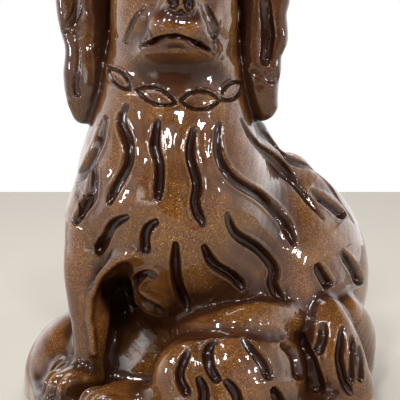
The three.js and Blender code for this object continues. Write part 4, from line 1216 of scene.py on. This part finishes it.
    def _thin(self, points: Array, faces: Array) -> tuple[Array, Array]:
        """Thins the net where it is smooth, down to the most triangles the piece may have.

        Args:
            points: The net's points.
            faces: Its four-sided faces.

        Returns:
            The thinned points, and triangles.
        """
        mesh = bpy.data.meshes.new("net")
        mesh.from_pydata(points.tolist(), [], faces.tolist())
        net = bpy.data.objects.new("net", mesh)
        bpy.context.scene.collection.objects.link(net)
        modifier = net.modifiers.new("thin", "DECIMATE")
        modifier.ratio = min(1.0, self.most_triangles / (2.0 * len(faces)))
        modifier.use_collapse_triangulate = True
        ready = net.evaluated_get(bpy.context.evaluated_depsgraph_get()).to_mesh()
        ready.calc_loop_triangles()
        thinned = np.empty(3 * len(ready.vertices), np.float32)
        ready.vertices.foreach_get("co", thinned)
        corners = np.empty(3 * len(ready.loop_triangles), np.int32)
        ready.loop_triangles.foreach_get("vertices", corners)
        bpy.data.objects.remove(net)
        bpy.data.meshes.remove(mesh)
        return thinned.reshape(-1, 3).astype(float), corners.reshape(-1, 3)

    def _glaze_depth(self, points: Array, normals: Array) -> tuple[Array, Array]:
        """Works out where the glaze pools and where it thins on edges, whose golden tone is partly a painted
        highlight.

        A step along the surface, averaged over four ways, the field falls over a hollow and rises off an
        edge. The fall or the rise for each millimetre of the step, scaled, is the pool or the edge.

        Args:
            points: Points of the surface.
            normals: Outward directions there.

        Returns:
            The pool and the edge (thin glaze, and partly a painted highlight), each from nothing to one.
        """
        side = np.cross(normals, self.glaze_grain)
        side /= np.maximum(np.linalg.norm(side, axis=1, keepdims=True), TINY)
        other = np.cross(normals, side)
        ways = (side, -side, other, -other)
        rise = sum(self.distance(points + self.glaze_step * way) / len(ways) for way in ways)
        bend = rise / self.glaze_step
        return np.clip(-bend * self.pool_gain, 0.0, 1.0), np.clip(bend * self.edge_gain, 0.0, 1.0)

    def _painted_shade(self, points: Array, normals: Array) -> Array:
        """Works out the painted shade of hollows and overhangs, and how much an ear is darkened.

        Some way off the surface the field is as high as the way is long, or less where clay stands near.
        The share that is missing, the mean of two ways, is the painted shade of a hollow. What is missing on
        a way that leans upwards, against the height it would have over flat clay, is added as painted shade
        from above. An ear is darkened by at least its own share, which fades out a little way off it.

        Args:
            points: Points of the surface.
            normals: Outward directions there.

        Returns:
            The painted shade, with the ears' darkening, from nothing on open clay to one.
        """
        # Painted shade in recesses: the share of open space missing along the normal.
        missing = sum(1.0 - self.distance(points + way * normals) / way for way in self.ways) / len(self.ways)
        # Painted shade from above: what is missing on a way that leans upwards, under chin, ears and other
        # overhangs.
        above = normals + self.upward_lean * UP
        above /= np.linalg.norm(above, axis=1, keepdims=True)
        longest = max(self.ways)
        shaded = (above * normals).sum(1) - self.distance(points + longest * above) / longest
        painted_shade_and_dark_ears = np.clip(np.maximum(missing, 0.0) + np.maximum(shaded, 0.0), 0.0, 1.0)
        # The ears are darkened by at least their own share.
        off_ears = np.minimum(*(region.distance(points) for region in self.regions if region.name == "ear"))
        on_ear = np.clip(self.ear_fade_start - off_ears / self.ear_fade, 0.0, 1.0)
        return np.maximum(painted_shade_and_dark_ears, self.ear_darkening * on_ear)

    def dress(self, figure: bpy.types.Object) -> None:
        """Gives the figure its glaze and ties it to the frame.

        Args:
            figure: The figure's object.
        """
        figure.data.materials.append(TreacleGlaze().material())
        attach(figure, "root")
        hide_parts(self.node)


@dataclass(frozen=True)
class Pattern:
    """A noise pattern, as it shows between two of its levels: nothing at low, and top at high."""

    scale: float
    detail: float
    low: float
    high: float
    top: float = 1.0
    roughness: float = 0.5


@dataclass
class NodeWriter:
    """Writes shader nodes into a node tree and joins their sockets."""

    tree: bpy.types.NodeTree

    def fill(self, node: bpy.types.Node, inputs: dict) -> None:
        """Sets inputs of a node.

        Args:
            node: The node.
            inputs: By name or number of the input, its value or the output that feeds it.
        """
        for name, value in inputs.items():
            if isinstance(value, bpy.types.NodeSocket):
                self.tree.links.new(value, node.inputs[name])
            else:
                node.inputs[name].default_value = value

    def add(self, kind: str, inputs: dict, output: str | int, **settings: object) -> bpy.types.NodeSocket:
        """Adds a node.

        Args:
            kind: The node's type, without the words ShaderNode.
            inputs: By name or number of the input, its value or the output that feeds it.
            output: Name or number of the output that is wanted.
            settings: The node's own settings.

        Returns:
            The output.
        """
        node = self.tree.nodes.new("ShaderNode" + kind)
        for name, value in settings.items():
            setattr(node, name, value)
        self.fill(node, inputs)
        return node.outputs[output]

    def noise(self, scale: float, detail: float, roughness: float = 0.5) -> bpy.types.NodeSocket:
        """Adds a noise pattern that sits still on the object.

        Args:
            scale: How many patches there are in a metre.
            detail: How many times the pattern is repeated finer.
            roughness: How strong the finer ones are.

        Returns:
            The pattern, from nothing to one.
        """
        place = self.add("TexCoord", {}, "Object")
        return self.add("TexNoise", {"Vector": place, "Scale": scale, "Detail": detail,
                                     "Roughness": roughness}, "Fac")

    def steps(self, value: bpy.types.NodeSocket, low: float, high: float, bottom: float = 0.0,
              top: float = 1.0, shape: str = "LINEAR") -> bpy.types.NodeSocket:
        """Maps a value between two levels.

        Args:
            value: The value.
            low: The level that gives bottom.
            high: The level that gives top.
            bottom: What is given at low and past it.
            top: What is given at high and past it.
            shape: The shape of the step between them.

        Returns:
            The mapped value.
        """
        return self.add("MapRange", {"Value": value, "From Min": low, "From Max": high, "To Min": bottom,
                                     "To Max": top}, "Result", interpolation_type=shape)

    def pattern(self, kind: Pattern) -> bpy.types.NodeSocket:
        """Adds a noise pattern and maps it between its levels."""
        return self.steps(self.noise(kind.scale, kind.detail, kind.roughness), kind.low, kind.high,
                          top=kind.top)

    def times(self, a: bpy.types.NodeSocket, b: bpy.types.NodeSocket) -> bpy.types.NodeSocket:
        """Multiplies two values."""
        return self.add("Math", {0: a, 1: b}, 0, operation="MULTIPLY")

    def blend(self, share: bpy.types.NodeSocket, under: object, over: object,
              kind: str = "MIX") -> bpy.types.NodeSocket:
        """Lays one colour over another by a share.

        Args:
            share: How much of the upper colour counts.
            under: The lower colour, or the output that feeds it.
            over: The upper colour, or the output that feeds it.
            kind: How the two are joined.

        Returns:
            The joined colour.
        """
        colours = [(*colour, 1.0) if isinstance(colour, tuple) else colour for colour in (under, over)]
        return self.add("Mix", {"Factor": share, 6: colours[0], 7: colours[1]}, 2,
                        data_type="RGBA", blend_type=kind)


@dataclass(frozen=True)
class TreacleGlaze:
    """A thick brown lead glaze over a speckled body: dark where it pools, golden where it is thin, with
    painted shade in hollows and under overhangs and a partly painted highlight along edges.
    """

    pooled: Colour = (0.020, 0.0055, 0.0026)
    # The painted shade's colour, laid in hollows and under overhangs, where shade falls, and on the ears.
    shadowed: Colour = (0.034, 0.0105, 0.0042)
    brown: Colour = (0.102, 0.036, 0.0065)
    red: Colour = (0.080, 0.023, 0.0070)
    golden: Colour = (0.25, 0.098, 0.014)
    fleck: Colour = (0.62, 0.34, 0.09)
    red_clouds: Pattern = Pattern(34.0, 3.0, 0.42, 0.62)
    golden_clouds: Pattern = Pattern(70.0, 4.0, 0.50, 0.72, 0.75, 0.6)
    patches: Pattern = Pattern(45.0, 2.0, 0.30, 0.62)
    grain: Pattern = Pattern(1500.0, 1.0, 0.46, 0.66, 0.75)
    sparks: Pattern = Pattern(1900.0, 1.0, 0.60, 0.72, 0.8)
    specks: Pattern = Pattern(1100.0, 1.0, 0.45, 0.32, 0.7)
    # From where to where edge, painted shade and pool count, and what each gives at both ends. The last row
    # is the weight of the coat across the painted shade: a painted dimming of its reflection there.
    # The edge's golden tone is thin glaze and partly a painted highlight along the rims.
    edge_levels: Levels = (0.15, 0.9, 0.0, 0.55)
    painted_shade_levels: Levels = (0.08, 0.6, 0.0, 0.95)
    pool_levels: Levels = (0.04, 0.62, 0.0, 0.96)
    coat_levels: Levels = (0.3, 0.8, 1.0, 0.4)
    roughness: float = 0.3
    plain_sheen: float = 0.1
    coat_roughness: float = 0.025
    coat_index: float = 1.55
    ripple_scale: float = 260.0
    ripple_detail: float = 2.0
    ripple_strength: float = 0.14
    ripple_metres: float = 0.0006

    def material(self) -> bpy.types.Material:
        """Builds the node material.

        The tone is laid on in order: red clouds on brown, golden clouds, golden edges (thin glaze, partly a
        painted highlight along the rims), golden grain and bright sparks in patches, red specks, then the
        painted shade of the hollows, overhangs and ears, and the dark of the pools. The coat is weaker where
        the painted shade is deep, a painted dimming of its reflection.

        Returns:
            The material.
        """
        material = bpy.data.materials.new("treacle_glaze")
        material.use_nodes = True
        write = NodeWriter(material.node_tree)
        edge, painted_shade_and_dark_ears, pool = (write.add("Attribute", {}, "Fac", attribute_name=name)
                              for name in ("edge", "painted_shade_and_dark_ears", "pool"))
        patches = write.pattern(self.patches)
        tone = self.brown
        for share, colour in (
            (write.pattern(self.red_clouds), self.red),
            (write.pattern(self.golden_clouds), self.golden),
            # Golden edges: thin glaze, and partly a painted highlight along the rims of strokes.
            (write.steps(edge, *self.edge_levels), self.golden),
            (write.times(write.pattern(self.grain), patches), self.golden),
            (write.times(write.pattern(self.sparks), patches), self.fleck),
            (write.pattern(self.specks), self.red),
            # Painted shade: darker in hollows and under overhangs, where shade falls, and on the ears.
            (write.steps(painted_shade_and_dark_ears, *self.painted_shade_levels), self.shadowed),
            (write.steps(pool, *self.pool_levels), self.pooled),
        ):
            tone = write.blend(share, tone, colour)
        ripple = write.add("Bump", {"Strength": self.ripple_strength, "Distance": self.ripple_metres,
                                    "Height": write.noise(self.ripple_scale, self.ripple_detail)},
                           "Normal")
        write.fill(material.node_tree.nodes["Principled BSDF"], {
            "Base Color": tone,
            "Roughness": self.roughness,
            "Specular IOR Level": self.plain_sheen,
            # The coat is weakened across the painted shade: a painted dimming of its reflection.
            "Coat Weight": write.steps(painted_shade_and_dark_ears, *self.coat_levels),
            "Coat Roughness": self.coat_roughness,
            "Coat IOR": self.coat_index,
            "Normal": ripple,
            "Coat Normal": ripple,
        })
        return material


@dataclass(frozen=True)
class PhotoCamera:
    """The camera of the photograph: close in front, a little above, looking slightly down."""

    focal_pixels: float = 936.0
    picture_pixels: float = 400.0
    sensor_mm: float = 36.0
    nearest: float = 0.01

    def place(self, shift: Array) -> None:
        """Makes the camera, moved with the figure into the frame.

        Args:
            shift: How far the figure was moved from its modelling place, in millimetres.
        """
        data = bpy.data.cameras.new("camera")
        data.sensor_width = self.sensor_mm
        data.lens = self.focal_pixels / self.picture_pixels * self.sensor_mm
        data.clip_start = self.nearest
        camera = bpy.data.objects.new("camera", data)
        camera.location = Vector((EYE + shift) * MM)
        camera.rotation_euler = (math.pi / 2 - EYE_DOWN, 0.0, 0.0)
        bpy.context.scene.collection.objects.link(camera)
        bpy.context.scene.camera = camera


@dataclass(frozen=True)
class SoftBox:
    """A soft studio light: a lit rectangle that looks at the figure."""

    name: str
    place: Place
    size: Spot
    watts: float
    target: Place = (0.0, 0.0, 0.12)

    def light(self) -> None:
        """Hangs the light."""
        data = bpy.data.lights.new(self.name, "AREA")
        data.shape = "RECTANGLE"
        data.size, data.size_y = self.size
        data.energy = self.watts
        lamp = bpy.data.objects.new(self.name, data)
        lamp.location = self.place
        aim = Vector(self.target) - Vector(self.place)
        lamp.rotation_euler = aim.to_track_quat("-Z", "Y").to_euler()
        bpy.context.scene.collection.objects.link(lamp)


@dataclass(frozen=True)
class Studio:
    """A plain pale floor, a bright room behind the figure, pale walls beside it and a dim room in front."""

    floor_half: float = 0.66
    floor_colour: Colour = (0.50, 0.46, 0.40)
    floor_roughness: float = 0.7
    behind: Colour = (1.0, 1.0, 1.0)
    in_front: Colour = (0.06, 0.06, 0.065)
    beside: Colour = (0.7, 0.7, 0.72)
    # From where to where a direction counts as low, as running back and as running sideways.
    low_range: Spot = (0.75, 0.25)
    back_range: Spot = (-0.35, 0.6)
    side_range: Spot = (0.25, 0.65)
    lamps: tuple[SoftBox, ...] = (
        SoftBox("left window", (-0.30, -0.78, 0.92), (0.10, 0.24), 5.6),
        SoftBox("right window", (0.18, -0.84, 0.90), (0.09, 0.15), 3.9),
        SoftBox("back window", (0.0, 1.1, 0.9), (1.2, 0.6), 6.0, (0.0, 0.4, 0.0)),
        SoftBox("overhead", (-0.1, 0.1, 1.2), (0.5, 0.4), 4.0),
        SoftBox("ceiling lamp", (-0.33, 0.03, 1.1), (0.08, 0.08), 1.6),
        SoftBox("left lamp", (-0.75, -0.45, 0.75), (0.05, 0.07), 1.6),
        SoftBox("right lamp", (0.70, -0.50, 0.70), (0.05, 0.07), 1.6),
        SoftBox("low left lamp", (-0.85, -0.35, 0.25), (0.05, 0.09), 1.0),
        SoftBox("low right lamp", (0.80, -0.42, 0.30), (0.05, 0.09), 1.0),
        SoftBox("left wall", (-0.45, -0.78, 0.14), (0.50, 0.26), 0.42),
        SoftBox("left wall middle", (-0.45, -0.775, 0.14), (0.37, 0.19), 0.25),
        SoftBox("left wall core", (-0.45, -0.77, 0.14), (0.25, 0.12), 0.12),
    )

    def floor(self) -> None:
        """Lays the floor: one flat square."""
        reach = self.floor_half
        mesh = bpy.data.meshes.new("floor")
        mesh.from_pydata([(-reach, -reach, 0), (reach, -reach, 0), (reach, reach, 0), (-reach, reach, 0)],
                         [], [(0, 1, 2, 3)])
        floor = bpy.data.objects.new("floor", mesh)
        bpy.context.scene.collection.objects.link(floor)
        material = bpy.data.materials.new("pale floor")
        material.use_nodes = True
        NodeWriter(material.node_tree).fill(material.node_tree.nodes["Principled BSDF"], {
            "Base Color": (*self.floor_colour, 1.0),
            "Roughness": self.floor_roughness,
        })
        mesh.materials.append(material)

    def room(self) -> None:
        """Lights the room by direction: bright behind near the horizon, pale beside, dim in front and above.

        The light is the dim tone, mixed with the bright one by how far a direction runs back and how low
        it is. The pale tone is added by how far it runs sideways and how low it is. The camera itself sees
        the bright tone alone.
        """
        world = bpy.data.worlds.new("room")
        world.use_nodes = True
        bpy.context.scene.world = world
        write = NodeWriter(world.node_tree)
        direction = write.add("TexCoord", {}, "Generated")
        x, y, z = (write.add("SeparateXYZ", {"Vector": direction}, axis) for axis in "XYZ")
        sideways = write.add("Math", {0: x}, 0, operation="ABSOLUTE")
        low = write.steps(z, *self.low_range, shape="SMOOTHSTEP")
        back_share = write.times(write.steps(y, *self.back_range, shape="SMOOTHSTEP"), low)
        wall_share = write.times(write.steps(sideways, *self.side_range, shape="SMOOTHSTEP"), low)
        light = write.blend(back_share, self.in_front, self.behind)
        light = write.blend(wall_share, light, self.beside, "ADD")
        seen = write.add("LightPath", {}, "Is Camera Ray")
        light = write.blend(seen, light, self.behind)
        write.fill(world.node_tree.nodes["Background"], {"Color": light, "Strength": 1.0})

    def build(self) -> None:
        """Sets up floor, room, lamps and the plain tone scale of the picture."""
        bpy.context.scene.view_settings.view_transform = "Standard"
        self.floor()
        self.room()
        for lamp in self.lamps:
            lamp.light()


def main() -> None:
    """Builds the figure, the studio and the camera."""
    logging.basicConfig(level=logging.INFO, format="%(name)s %(message)s")
    spaniel = SpanielFigure()
    figure = spaniel.build()
    spaniel.dress(figure)
    PhotoCamera().place(spaniel.shift)
    Studio().build()
    bpy.context.view_layer.update()


if __name__ == "__main__":
    main()
